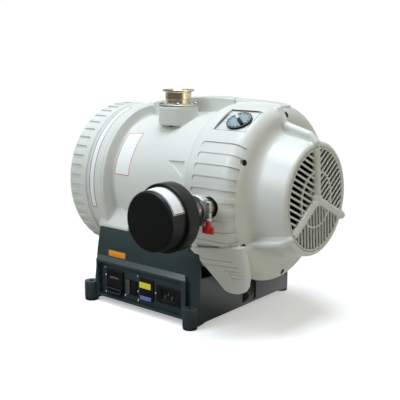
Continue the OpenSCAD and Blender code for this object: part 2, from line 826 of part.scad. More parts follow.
skirt_top_y = 138;
skirt_top_h = 158;
skirt_low_y = 124;
skirt_t = 14;
skirt_end = 228;
rib_start = [203, 141];
rib_foot = [220, 112];
rib_knee = [264, 101];
rib_end = [273, 91];
rib_path = [rib_start, rib_foot, rib_knee, rib_end];

// The skirt's edge from the cowl's left side round to its right side, as shares of
// its length and of its height
skirt_shares = [[0.07, 0.75], [0.2, 0.576], [0.408, 0.306], [0.608, 0.035], [0.683, 0], [0.817, 0.012],
    [0.904, 0.06], [0.967, 0.176], [1, 0.388], [0.992, 0.624], [0.975, 0.835], [0.967, 0.99],
    [0.725, 0.93], [0.07, 0.776]];
skirt_outline = [for (p = skirt_shares) between([cowl_x, skirt_h], [skirt_end, skirt_top_h], p)];

// A round bar from one [x, radius] point to another, with a round end
module rib_bar(p, q) {
    reach = q - p;
    translate([p[0], p[1], 0]) rotate([0, 0, atan2(reach[1], reach[0])]) rotate([0, 90, 0])
        cylinder(r = tube_r, h = norm(reach));
    translate([q[0], q[1], 0]) sphere(r = tube_r + tube_joint);
}

module cowl_screw_places() {
    for (i = [0 : screw_count - 1]) at_angle(90 + 360 / screw_count * i) translate([0, screw_ring, 0])
        rotate([0, 90, 0]) children();
}

module skirt() difference() {
    intersection() {
        along_y(-cowl_r, -cowl_r / 2, skirt_outline);
        along_x(cowl_x - over, nose_x, [[-skirt_top_y, skirt_top_h],
            [-skirt_top_y + skirt_t, skirt_top_h], [-skirt_low_y + skirt_t, skirt_h],
            [-skirt_low_y, skirt_h]]);
    }
    translate([cowl_x - over, -cowl_r - over, 0])
        cube([case_right - cowl_x + case_wall, cowl_r + over - skirt_front,
            case_low_h + case_wall]);
}

module motor_cowl() color(off_white) difference() {
    union() {
        difference() {
            union() {
                spin_x(cowl_outside);
                skirt();
                for (a = rib_angles) at_angle(a) {
                    translate([rib_start[0], rib_start[1], 0]) sphere(r = tube_r + tube_joint);
                    for (i = [0 : len(rib_path) - 2]) rib_bar(rib_path[i], rib_path[i + 1]);
                }
            }
            spin_x(cowl_inside);
        }
        cowl_screw_places() translate([0, 0, boss_x]) cylinder(r = boss_out, h = recess_x - boss_x + over);
    }
    cowl_screw_places() translate([0, 0, recess_x]) cylinder(r = recess_r, h = nose_x - recess_x);
    cowl_screw_places() translate([0, 0, boss_x - over])
        cylinder(r = small_hole_r, h = recess_x - boss_x + 2 * over);
    for (side = [0, 180], i = [-groove_rows : groove_rows]) at_angle(side + i * groove_step)
        translate([groove_left, cowl_r - groove_d, -groove_w / 2])
            cube([groove_right - groove_left, groove_d + over, groove_w]);
    translate([port_x, -cowl_r / 2, port_h]) rotate([90, 0, 0]) cylinder(r = exhaust_hole_r, h = cowl_r);
    at_angle(dial_panel_angle)
        translate([dial_panel_x - dial_panel_l / 2, cowl_r - edge_r * 2, -dial_panel_w / 2])
            cube([dial_panel_l, edge_r * 3, dial_panel_w]);
}

module cowl_posts() color(bare_metal) cowl_screw_places() difference() {
    translate([0, 0, post_left]) cylinder(r = post_r, h = boss_x - fit_gap - post_left);
    translate([0, 0, boss_x - boss_out * 2]) cylinder(r = small_hole_r, h = boss_out * 2);
}

module cowl_screws() color(bare_metal) cowl_screw_places() {
    translate([0, 0, recess_x]) cylinder(r = recess_r - face_gap, h = screw_head_t);
    translate([0, 0, recess_x - boss_out * 2])
        cylinder(r = small_hole_r - thread_gap, h = boss_out * 2 + over);
}
screw_head_t = 3.5;

// Fan grille
grille_hub_r = 13;
grille_t = 4;
grille_rim = 4;
hub_dome = 7;
slat_pitch = 9.35;
slat_w = 3.4;
slats = 9;
hoop_r = 46;
hoop_w = 3;
grille_left = nose_x - lip_depth;

module grille_bars() {
    for (k = [0 : 2]) intersection() {
        on_axis() linear_extrude(nose_x) polygon([[0, 0],
            for (a = [0, 60, 120]) 2 * grille_r * [cos(rib_angles[k] + a), sin(rib_angles[k] + a)]]);
        at_angle(rib_angles[k] + 60) for (i = [-slats : slats])
            translate([grille_left, 0, i * slat_pitch - slat_w / 2]) cube([grille_t, grille_r, slat_w]);
    }
}

module fan_grille() color(off_white) {
    intersection() {
        ring_x(grille_left, grille_left + grille_t, grille_r - over, over);
        grille_bars();
    }
    ring_x(grille_left, grille_left + grille_t, grille_r, grille_r - grille_rim);
    ring_x(grille_left, grille_left + grille_t, hoop_r + hoop_w / 2, hoop_r - hoop_w / 2);
    spin_x(concat([[grille_left, 0], [grille_left, grille_hub_r], [grille_left + grille_t, grille_hub_r]],
        [for (i = [1 : arc_n]) [grille_left + grille_t + hub_dome * sin(90 * i / arc_n),
            grille_hub_r * cos(90 * i / arc_n)]]));
    intersection() {
        for (a = rib_angles) at_angle(a) rib_bar([rib_end[0], 0], rib_end);
        ring_x(grille_left - tube_r * 2, nose_x + tube_r * 2, grille_r, over);
    }
}

// Scroll cover
cover_left = seam_x - cover_len;
flute_w = 4;
flute_d = 2.5;
cap_r = 118;
cover_screw_r = 4;
cover_screw_ring = 104;
cover_screw_count = 6;
cover_edge = 1;

cover_line = [[seam_x - fit_gap, cover_r - cover_edge], [seam_x - fit_gap - cover_edge, cover_r],
    [cover_left, cover_r], [cover_left - cover_nose / 2, cover_r - cover_nose / 3],
    [cover_left - cover_nose, cap_r], [cover_left - cover_nose, 0]];

module scroll_cover() color(off_white) difference() {
    spin_x(concat(cover_line, [[cover_left - cover_nose + cover_wall, 0],
        [cover_left - cover_nose + cover_wall, cap_r - cover_wall], [cover_left, cover_r - cover_wall],
        [seam_x - fit_gap, cover_r - cover_wall]]));
    for (i = [0 : flute_n - 1]) at_angle(i * 360 / flute_n)
        translate([cover_left - cover_nose, cover_r - flute_d, -flute_w / 2])
            cube([flute_len + cover_nose, flute_d + over, flute_w]);
    cover_screw_places() translate([0, 0, -over]) cylinder(r = small_hole_r, h = cover_wall + 2 * over);
}

module cover_screw_places() {
    for (i = [0 : cover_screw_count - 1]) at_angle(30 + 360 / cover_screw_count * i)
        translate([cover_left - cover_nose, cover_screw_ring, 0]) rotate([0, 90, 0]) children();
}

module cover_screws() color(bare_metal) cover_screw_places() {
    translate([0, 0, -screw_head_t]) cylinder(r = cover_screw_r, h = screw_head_t);
    translate([0, 0, -over]) cylinder(r = small_hole_r - thread_gap, h = cover_wall + over);
}

// Ridge along the top, behind the inlet, from the flange to the end of the cowl
bridge_front = 4;
bridge_back = 26;
bridge_left = seam_x + body_wall;
bridge_right = 202;

// The ridge's outline, as shares of its length and of the cowl's radius
bridge_shares = [[0, 0.74], [0, 0.9], [0.07, 0.94], [0.19, 0.987], [0.3, 1.02], [0.4, 1.04], [0.5, 1.053],
    [0.61, 1.053], [0.74, 1.04], [0.83, 1.027], [0.9, 1.016], [0.96, 1.008], [1, 0.98], [1, 0.74]];
bridge_line = [for (p = bridge_shares) between([bridge_left, axis_h], [bridge_right, axis_h + cowl_r], p)];

module top_bridge() color(off_white) difference() {
    along_y(-bridge_front, bridge_back, bridge_line);
    translate([seam_x - band_w, 0, 0]) on_axis() cylinder(r = band_r + fit_gap, h = 2 * band_w + fit_gap);
    spin_x([[band_x - band_w, 0], [band_x - band_w, cone_at(band_x - band_w) + fit_gap],
        [cone_end_x + fit_gap, cone_end_r + 2 * fit_gap], [cone_end_x + fit_gap, 0]]);
    spin_x(concat([[cowl_x - edge_drop, 0], [cowl_x - edge_drop, cowl_r - edge_r / 2]], cowl_line(-fit_gap),
        [[shoulder_x + throat_r, 0]]));
    translate([cone_end_x, 0, 0]) on_axis() cylinder(r = screw_ring + post_r + fit_gap, h = edge_r);
}

// Inlet
inlet_throat_r = 18.5;
inlet_foot_t = 3;
inlet_foot_r = 34;
inlet_groove_up = 11.5;
inlet_low_r = 21;
flange_t = 3;
flange_taper = 1.4;
recess_depth = 5;
inlet_screw_ring = 29.5;
inlet_screw_angles = [39, 129, 219, 309];
inlet_screw_head_r = 3.4;
inlet_screw_len = 10;
inlet_low = inlet_boss_h;
strainer_r = 20.3;

module inlet_flange() color(warm_metal) translate([inlet_x, -inlet_y, 0]) difference() {
    union() {
        translate([0, 0, inlet_h - flange_t]) cylinder(r = inlet_flange_r, h = flange_t);
        translate([0, 0, inlet_h - flange_t - flange_taper])
            cylinder(r1 = inlet_tube_r, r2 = inlet_flange_r, h = flange_taper);
        translate([0, 0, inlet_low + inlet_groove_up])
            cylinder(r = inlet_tube_r, h = inlet_len - inlet_groove_up - flange_t);
        translate([0, 0, inlet_low]) cylinder(r = inlet_low_r, h = inlet_len - flange_t);
        translate([0, 0, inlet_low]) cylinder(r = inlet_foot_r, h = inlet_foot_t);
    }
    translate([0, 0, inlet_low - over]) cylinder(r = inlet_throat_r, h = inlet_h);
    translate([0, 0, inlet_h - recess_depth]) cylinder(r = inlet_bore_r, h = recess_depth + over);
    translate([0, 0, inlet_low - over]) cylinder(r = strainer_r + fit_gap, h = mesh_t + over + face_gap);
    for (a = inlet_screw_angles) rotate([0, 0, a]) translate([inlet_screw_ring, 0, inlet_low - over])
        cylinder(r = small_hole_r, h = inlet_foot_t + 2 * over);
}

module inlet_screws() color(bare_metal) for (a = inlet_screw_angles)
    translate([inlet_x + inlet_screw_ring * cos(a), -inlet_y + inlet_screw_ring * sin(a), 0]) {
        translate([0, 0, inlet_low + inlet_foot_t]) cylinder(r = inlet_screw_head_r, h = screw_head_t);
        translate([0, 0, inlet_boss_h - inlet_screw_len + over])
            cylinder(r = small_hole_r - thread_gap, h = inlet_screw_len + inlet_foot_t);
    }

mesh_t = 1;
mesh_pitch = 6;
mesh_bar = 1.4;
mesh_rows = 3;
module inlet_strainer() color(bare_metal) translate([inlet_x, -inlet_y, inlet_low]) {
    difference() {
        cylinder(r = strainer_r, h = mesh_t);
        translate([0, 0, -over]) cylinder(r = inlet_throat_r - mesh_t, h = mesh_t + 2 * over);
    }
    intersection() {
        cylinder(r = inlet_throat_r, h = mesh_t);
        for (i = [-mesh_rows : mesh_rows], q = [0, 90]) rotate([0, 0, q])
            translate([-inlet_throat_r, i * mesh_pitch - mesh_bar / 2, 0])
                cube([2 * inlet_throat_r, mesh_bar, mesh_t]);
    }
}

// Gas ballast
stem_r = 5;
knob_h = 5;
pointer_w = 6;
pointer_h = 4;
pointer_turn = -41;
valve_r = 15;
valve_len = 20;
stem_len = 12;

module ballast_panel() color(off_white) at_angle(dial_panel_angle) difference() {
    translate([dial_panel_x - dial_panel_l / 2 + face_gap, panel_top_r - panel_plate_t,
        -dial_panel_w / 2 + face_gap])
        cube([dial_panel_l - 2 * face_gap, panel_plate_t, dial_panel_w - 2 * face_gap]);
    dial_place() translate([0, 0, -valve_len]) cylinder(r = stem_r + run_gap, h = valve_len * 2);
}

// Lies on the dial's own axis, square to the panel
dial_shift = panel_top_r * tan(dial_angle - dial_panel_angle);
module dial_place() {
    translate([dial_x, panel_top_r, dial_shift]) rotate([-90, 0, 0]) children();
}

module ballast_knob() color("lightsteelblue") at_angle(dial_panel_angle) dial_place() {
    translate([0, 0, face_gap]) cylinder(r = knob_r, h = knob_h);
    rotate([0, 0, pointer_turn]) translate([-knob_r + over, -pointer_w / 2, face_gap + knob_h - over])
        cube([2 * knob_r - 2 * over, pointer_w, pointer_h + over]);
    translate([0, 0, -stem_len]) cylinder(r = stem_r, h = stem_len + over);
}

module ballast_valve() color(warm_metal) at_angle(dial_panel_angle) dial_place() difference() {
    translate([0, 0, -panel_plate_t - fit_gap - valve_len]) cylinder(r = valve_r, h = valve_len);
    translate([0, 0, -stem_len - over]) cylinder(r = stem_r + run_gap, h = valve_len);
}

// Exhaust
joint_y = 180;
seal_half = 1.6;
pipe_leg_y = 103;
pipe_bend = 13.5;
leg_less = 1.5;
bore_less = 1;
ring_in = 11.8;
ring_out = 12.9;
ring_half = 4;
counter_r = 13.1;
seal_in = 15;
seal_rim = 18;

module along_port(y0, y1, r) {
    translate([port_x, -y0, port_h]) rotate([90, 0, 0]) cylinder(r = r, h = y1 - y0);
}

module port_flange(side) {
    translate([port_x, -joint_y, port_h]) rotate([side * 90, 0, 0]) {
        translate([0, 0, seal_half]) cylinder(r = port_flange_r, h = flange_t);
        translate([0, 0, seal_half + flange_t])
            cylinder(r1 = port_flange_r, r2 = port_tube_r, h = flange_taper);
    }
}

module exhaust_pipe() color(warm_metal) difference() {
    union() {
        along_port(pipe_leg_y - pipe_bend, joint_y - seal_half - over, port_tube_r);
        port_flange(-1);
        translate([carrier_left + carrier_t + fit_gap, -pipe_leg_y, port_h]) rotate([0, 90, 0])
            cylinder(r = port_tube_r - leg_less, h = port_x - carrier_left - carrier_t - fit_gap);
    }
    along_port(pipe_leg_y - pipe_bend + port_tube_r - port_bore_r, joint_y + over, port_bore_r - bore_less);
    along_port(joint_y - ring_half - face_gap, joint_y + over, counter_r);
    translate([carrier_left, -pipe_leg_y, port_h]) rotate([0, 90, 0])
        cylinder(r = port_bore_r - bore_less - leg_less, h = port_x - carrier_left);
}

module centring_ring() color(bare_metal) difference() {
    union() {
        along_port(joint_y - ring_half, joint_y + ring_half, ring_out);
        along_port(joint_y - seal_half + thread_gap, joint_y + seal_half - thread_gap, seal_in);
    }
    along_port(joint_y - ring_half - over, joint_y + ring_half + over, ring_in);
}

module flange_seal() color(rubber_black) difference() {
    along_port(joint_y - seal_half, joint_y + seal_half, seal_rim);
    along_port(joint_y - seal_half - over, joint_y + seal_half + over, seal_in + thread_gap);
}

// Clamp
clamp_lip_r = 16.5;
clamp_split = 0.4;
ear_x = 191.5;
ear_w = 9;
ear_h = 12.6;
bolt_r = 2.5;
bolt_hole_r = 2.7;
hinge_x = 141.5;
hinge_r = 4;
hinge_pin_r = 1.8;
neck_len = 8;
nut_neck_r = 4;
nut_r = 6;
nut_len = 8;
wing_len = 10;
wing_t = 4;
wing_h = 11;
washer_r = 5.5;
washer_room = 0.6;
washer_t = 1.2;
clamp_edge = 1;
ear_bite = 3;
bolt_head_r = 4.5;

module clamp_body() translate([port_x, -joint_y, port_h]) rotate([90, 0, 0]) rotate_extrude() {
    half = clamp_w / 2;
    polygon([[port_flange_r + face_gap, -seal_half - flange_t], [clamp_lip_r, -half + clamp_edge],
        [clamp_lip_r, -half], [clamp_r - clamp_edge, -half], [clamp_r, -half + clamp_edge],
        [clamp_r, half - clamp_edge], [clamp_r - clamp_edge, half], [clamp_lip_r, half],
        [clamp_lip_r, half - clamp_edge], [port_flange_r + face_gap, seal_half + flange_t]]);
}

// One half of the clamp: up is 1 for the upper half and -1 for the lower one
module clamp_half(up) {
    cut = up > 0 ? port_h - clamp_r * 2 : port_h - clamp_split;
    knuckle = up > 0 ? clamp_w : clamp_w / 3 - 2 * face_gap;
    third = clamp_w / 3;
    difference() {
        union() {
            clamp_body();
            translate([port_x + clamp_r - ear_bite, -joint_y - clamp_w / 2, up > 0 ? port_h : port_h - ear_h])
                cube([ear_x + ear_w / 2 - port_x - clamp_r + ear_bite, clamp_w, ear_h]);
            translate([hinge_x, -joint_y - knuckle / 2, port_h]) rotate([-90, 0, 0])
                cylinder(r = hinge_r, h = knuckle);
        }
        translate([hinge_x + hinge_r, -joint_y - clamp_w, cut])
            cube([clamp_r * 4, clamp_w * 2, clamp_r * 2 + clamp_split]);
        translate([ear_x, -joint_y, port_h - clamp_r]) cylinder(r = bolt_hole_r, h = clamp_r * 2);
        translate([ear_x - washer_r - washer_room, -joint_y - clamp_w,
            up > 0 ? port_h + ear_h : port_h - ear_h - clamp_r])
            cube([clamp_r, clamp_w * 2, clamp_r]);
        translate([hinge_x, -joint_y - clamp_w, port_h]) rotate([-90, 0, 0])
            cylinder(r = hinge_pin_r + run_gap, h = clamp_w * 2);
        if (up > 0) translate([hinge_x - clamp_r, -joint_y - third / 2, port_h - clamp_r])
            cube([clamp_r + hinge_r, third, clamp_r * 2]);
        if (up < 0) for (s = [-1, 1])
            translate([hinge_x - clamp_r, -joint_y + s * third - third / 2 - face_gap, port_h - clamp_r])
                cube([clamp_r + hinge_r + face_gap, third + 2 * face_gap, clamp_r * 2]);
    }
}

module clamp_half_upper() color(bare_metal) clamp_half(1);
module clamp_half_lower() color(bare_metal) clamp_half(-1);

module clamp_pin() color(bare_metal) translate([hinge_x, -joint_y - clamp_w / 2, port_h])
    rotate([-90, 0, 0]) cylinder(r = hinge_pin_r, h = clamp_w);

bolt_low = port_h - 1.5 * clamp_r;
bolt_head_t = 4;
module clamp_bolt() color(bare_metal) {
    translate([ear_x, -joint_y, bolt_low]) cylinder(r = bolt_r, h = port_h + ear_h - bolt_low + over);
    translate([ear_x, -joint_y, port_h + ear_h]) cylinder(r = bolt_head_r, h = bolt_head_t);
}

module clamp_washer() color(bare_metal) translate([ear_x, -joint_y, port_h - ear_h - washer_t]) difference() {
    cylinder(r = washer_r, h = washer_t);
    translate([0, 0, -over]) cylinder(r = bolt_hole_r, h = washer_t + 2 * over);
}

nut_top = port_h - ear_h - washer_t - fit_gap;
module clamp_nut() color("firebrick") translate([ear_x, -joint_y, nut_top]) difference() {
    union() {
        translate([0, 0, -neck_len - over]) cylinder(r = nut_neck_r, h = neck_len + over);
        translate([0, 0, -neck_len - nut_len]) cylinder(r = nut_r, h = nut_len);
        translate([-wing_len, -wing_t / 2, -neck_len - wing_h])
            cube([2 * wing_len, wing_t, wing_h - fit_gap]);
    }
    translate([0, 0, -neck_len - 2 * wing_h]) cylinder(r = bolt_r + run_gap, h = neck_len + 3 * wing_h);
}

// Silencer
front_face = 255;
cup_split = front_face - front_cup_len;
rear_face = 198;
neck_r = 41;
cup_flare = 2.5;
cup_round = 3;
core_r = 30;
core_wall = 4;
cup_lip = 1;
spigot = 8;

module silencer_place(y) {
    translate([silencer_x, -y, silencer_h]) rotate([90, 0, 0]) children();
}

module silencer_rear() color(plastic_black) difference() {
    shelf = rear_cup_len - cup_round;
    union() {
        silencer_place(rear_face) rotate_extrude() polygon([[0, 0], [rear_cup_r - cup_round, 0],
            [rear_cup_r, cup_round], [rear_cup_r, shelf - cup_lip], [rear_cup_r - cup_lip, shelf],
            [neck_r + cup_lip, shelf], [neck_r + cup_lip, shelf - cup_wall],
            [rear_cup_r - cup_wall, shelf - cup_wall], [rear_cup_r - cup_wall, cup_wall + cup_lip],
            [0, cup_wall + cup_lip]]);
        along_port(joint_y + seal_half + flange_t, rear_face + over, port_tube_r);
        port_flange(1);
    }
    along_port(joint_y, rear_face + cup_wall * 3, port_bore_r - bore_less);
    along_port(joint_y, joint_y + ring_half + face_gap, counter_r);
}

module silencer_front() color(plastic_black) silencer_place(0) rotate_extrude() polygon([
    [0, front_face], [front_cup_r - cup_round, front_face], [front_cup_r, front_face - cup_round],
    [front_cup_r + cup_flare, cup_split], [neck_r, cup_split], [neck_r, cup_split - spigot],
    [neck_r - cup_wall, cup_split - spigot], [neck_r - cup_wall, front_face - cup_wall],
    [0, front_face - cup_wall]]);

module silencer_core() color(seal_white) silencer_place(rear_face + cup_wall + cup_lip + fit_gap)
    difference() {
        cylinder(r = core_r, h = front_face - rear_face - 2 * cup_wall - cup_lip - 2 * fit_gap);
        translate([0, 0, core_wall]) cylinder(r = core_r - core_wall, h = front_face - rear_face);
    }

// Bare labels: the name plate, a band on the flange and a strip on the silencer
label_t = 0.5;
plate_left = -77;
plate_right = -37;
plate_from = 129.5;
plate_to = 170.7;
band_from = 106;
band_to = 198;
band_label_x = -118;
band_label_w = 14;
strip_from = 18;
strip_to = 105;
strip_in = 5.5;
strip_back = cup_split + strip_in;
strip_front = front_face - strip_in;
label_gap = 0.05;

module wrap_x(from, to, outline) {
    on_axis() rotate([0, 0, from]) rotate_extrude(angle = to - from)
        polygon([for (p = outline) [p[1], p[0]]]);
}

// Radius of the front cup's side at a distance from the centre line
function cup_at(y) = front_cup_r + cup_flare * (front_face - cup_round - y) / (front_cup_len - cup_round);

module label_bands() color(label_white) {
    wrap_x(plate_from, plate_to, [[plate_left, cone_at(plate_left) + label_gap],
        [plate_right, cone_at(plate_right) + label_gap],
        [plate_right, cone_at(plate_right) + label_gap + label_t],
        [plate_left, cone_at(plate_left) + label_gap + label_t]]);
    wrap_x(band_from, band_to, [[band_label_x, band_r + label_gap],
        [band_label_x + band_label_w, band_r + label_gap],
        [band_label_x + band_label_w, band_r + label_gap + label_t],
        [band_label_x, band_r + label_gap + label_t]]);
    silencer_place(0) rotate([0, 0, strip_from]) rotate_extrude(angle = strip_to - strip_from) polygon([
        [cup_at(strip_back) + label_gap, strip_back], [cup_at(strip_front) + label_gap, strip_front],
        [cup_at(strip_front) + label_gap + label_t, strip_front],
        [cup_at(strip_back) + label_gap + label_t, strip_back]]);
}

base_casing();
base_plate();
foot_pads();
control_panel();
drive_unit();
control_connector();
serial_socket();
status_strip();
voltage_selector();
setting_plates();
mains_inlet();
mains_pins();
panel_screws();
front_plate();
rubber_mounts();
mount_bracket();
pump_housing();
fixed_scroll();
fixed_tip_seal();
orbiting_scroll();
orbiting_tip_seal();
bellows();
bearing_carrier();
main_bearings();
crank_bearing();
crankshaft();
counterweight();
motor_frame();
stator();
end_windings();
rotor();
rear_bracket();
rear_bearing();
cooling_fan();
motor_cowl();
cowl_posts();
cowl_screws();
fan_grille();
scroll_cover();
cover_screws();
top_bridge();
inlet_flange();
inlet_screws();
inlet_strainer();
ballast_panel();
ballast_knob();
ballast_valve();
exhaust_pipe();
centring_ring();
flange_seal();
clamp_half_upper();
clamp_half_lower();
clamp_pin();
clamp_bolt();
clamp_washer();
clamp_nut();
silencer_rear();
silencer_front();
silencer_core();
label_bands();
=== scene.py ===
import bpy
import bmesh
import json
from math import atan2, cos, degrees, hypot, pi, radians, sin, sqrt, tan
from mathutils import Matrix, Vector


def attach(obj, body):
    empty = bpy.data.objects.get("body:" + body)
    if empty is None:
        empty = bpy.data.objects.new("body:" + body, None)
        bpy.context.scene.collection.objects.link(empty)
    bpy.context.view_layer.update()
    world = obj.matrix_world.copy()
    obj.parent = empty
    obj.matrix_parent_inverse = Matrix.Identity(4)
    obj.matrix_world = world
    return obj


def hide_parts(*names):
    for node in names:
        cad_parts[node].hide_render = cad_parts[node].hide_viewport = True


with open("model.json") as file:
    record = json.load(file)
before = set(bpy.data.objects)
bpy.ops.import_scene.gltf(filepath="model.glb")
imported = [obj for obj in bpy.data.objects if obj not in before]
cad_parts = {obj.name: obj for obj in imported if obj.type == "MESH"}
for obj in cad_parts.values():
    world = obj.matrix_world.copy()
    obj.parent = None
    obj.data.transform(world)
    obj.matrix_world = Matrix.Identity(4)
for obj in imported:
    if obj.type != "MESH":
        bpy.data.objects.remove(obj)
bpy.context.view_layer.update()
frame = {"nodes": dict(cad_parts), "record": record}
nodes = frame["nodes"]
mm = 0.001
axisHeight = 219  # the pump's centre line above the floor
print("frame loaded:", len(nodes), "nodes")


# Camera, in the place that the photograph was taken from
cameraView = {
    "place": (863.93, -1021.27, 446.57),
    "right": (0.77339, 0.63392, 0.00346),
    "up": (-0.12506, 0.14722, 0.98117),
    "back": (0.62147, -0.75926, 0.19314),
    "focalPixels": 729.72,
    "picturePixels": 400,
    "sensor": 36,
    "nearest": 0.05, "farthest": 50,
}


def addCamera(view):
    data = bpy.data.cameras.new("camera")
    data.sensor_width = view["sensor"]
    data.lens = view["sensor"] * view["focalPixels"] / view["picturePixels"]
    data.clip_start = view["nearest"]
    data.clip_end = view["farthest"]
    camera = bpy.data.objects.new("camera", data)
    bpy.context.scene.collection.objects.link(camera)
    turn = Matrix((view["right"], view["up"], view["back"])).transposed().to_4x4()
    camera.matrix_world = Matrix.Translation(Vector(view["place"]) * mm) @ turn
    bpy.context.scene.camera = camera


addCamera(cameraView)
print("camera placed")


# Studio: white floor and backdrop, with broad lamps from the front left, the top and the right
studio = {
    "skyColour": (1.0, 0.96, 0.86), "skyStrength": 0.24,
    "skyFrom": 0.05, "skyTo": 0.75, "roomShade": 0.11, "skyGlow": 0.75,
    "backdrop": {"way": (0.70, 0.71, 0), "from": 0.35, "to": 0.95, "glow": 0.75},
    "leftWall": {"way": (-0.98, 0.17, 0.1), "from": 0.72, "to": 0.97, "glow": 0.65},
    "floorSize": 14, "floorColour": (0.56, 0.54, 0.48), "floorSeen": (0.9, 0.9, 0.9), "floorLift": 0.42,
    "clearFrom": 0.34, "clearTo": 0.75, "aim": (0.03, 0, 0.2),
    "lamps": [
        {"name": "keyLamp", "place": (-0.6, -1.8, 1.85), "size": 1.3, "power": 25.5,
         "colour": (0.87, 0.99, 1.09)},
        {"name": "topLamp", "place": (0.1, -0.1, 2.4), "size": 1.4, "power": 40, "colour": (0.90, 1.0, 1.10)},
        {"name": "rightLamp", "place": (2.3, 0.2, 0.6), "size": 0.9, "power": 4, "colour": (1.0, 0.87, 0.60)},
    ],
}


def seenRay(tree):
    # 1 for what the camera sees, through glass too, and 0 for all other light
    paths = tree.nodes.new("ShaderNodeLightPath")
    both = tree.nodes.new("ShaderNodeMath")
    both.operation = "MAXIMUM"
    tree.links.new(paths.outputs["Is Camera Ray"], both.inputs[0])
    tree.links.new(paths.outputs["Is Transmission Ray"], both.inputs[1])
    return both.outputs[0]


def mixShaders(tree, factor, plain, other):
    mix = tree.nodes.new("ShaderNodeMixShader")
    tree.links.new(factor, mix.inputs[0])
    tree.links.new(plain, mix.inputs[1])
    tree.links.new(other, mix.inputs[2])
    return mix.outputs[0]


def paleTowards(tree, socket, wall, shade):
    # Rises from the room's shade as a way, or a place on the floor, turns to a pale wall
    along = tree.nodes.new("ShaderNodeVectorMath")
    along.operation = "NORMALIZE"
    tree.links.new(socket, along.inputs[0])
    dot = tree.nodes.new("ShaderNodeVectorMath")
    dot.operation = "DOT_PRODUCT"
    dot.inputs[1].default_value = wall["way"]
    tree.links.new(along.outputs["Vector"], dot.inputs[0])
    fade = tree.nodes.new("ShaderNodeMapRange")
    fade.interpolation_type = "SMOOTHSTEP"
    fade.inputs["From Min"].default_value = wall["from"]
    fade.inputs["From Max"].default_value = wall["to"]
    fade.inputs["To Min"].default_value = shade
    fade.inputs["To Max"].default_value = wall["glow"]
    tree.links.new(dot.outputs["Value"], fade.inputs["Value"])
    return fade.outputs["Result"]


def makeFloor(settings):
    # Grey for the light that it throws back, white with the object's shadow for the camera,
    # and plain white further out. What shines in the object is dark in front and pale behind it.
    surface = bpy.data.materials.new("whiteFloor")
    surface.use_nodes = True
    tree = surface.node_tree
    tree.nodes.clear()
    grey = tree.nodes.new("ShaderNodeBsdfDiffuse")
    grey.inputs["Color"].default_value = (*settings["floorColour"], 1)
    pale = tree.nodes.new("ShaderNodeBsdfDiffuse")
    pale.inputs["Color"].default_value = (*settings["floorSeen"], 1)
    lift = tree.nodes.new("ShaderNodeEmission")
    lift.inputs["Strength"].default_value = settings["floorLift"]
    near = tree.nodes.new("ShaderNodeAddShader")
    tree.links.new(pale.outputs[0], near.inputs[0])
    tree.links.new(lift.outputs[0], near.inputs[1])
    white = tree.nodes.new("ShaderNodeEmission")
    white.inputs["Strength"].default_value = 1.0
    place = tree.nodes.new("ShaderNodeTexCoord")
    reach = tree.nodes.new("ShaderNodeVectorMath")
    reach.operation = "LENGTH"
    tree.links.new(place.outputs["Object"], reach.inputs[0])
    fade = tree.nodes.new("ShaderNodeMapRange")
    fade.interpolation_type = "SMOOTHSTEP"
    fade.inputs["From Min"].default_value = settings["clearFrom"]
    fade.inputs["From Max"].default_value = settings["clearTo"]
    tree.links.new(reach.outputs["Value"], fade.inputs["Value"])
    seen = mixShaders(tree, fade.outputs["Result"], near.outputs[0], white.outputs[0])
    shone = tree.nodes.new("ShaderNodeEmission")
    glow = paleTowards(tree, place.outputs["Object"], settings["backdrop"], settings["roomShade"])
    tree.links.new(glow, shone.inputs["Strength"])
    paths = tree.nodes.new("ShaderNodeLightPath")
    thrown = mixShaders(tree, paths.outputs["Is Glossy Ray"], grey.outputs[0], shone.outputs[0])
    output = tree.nodes.new("ShaderNodeOutputMaterial")
    tree.links.new(mixShaders(tree, seenRay(tree), thrown, seen), output.inputs["Surface"])
    return surface


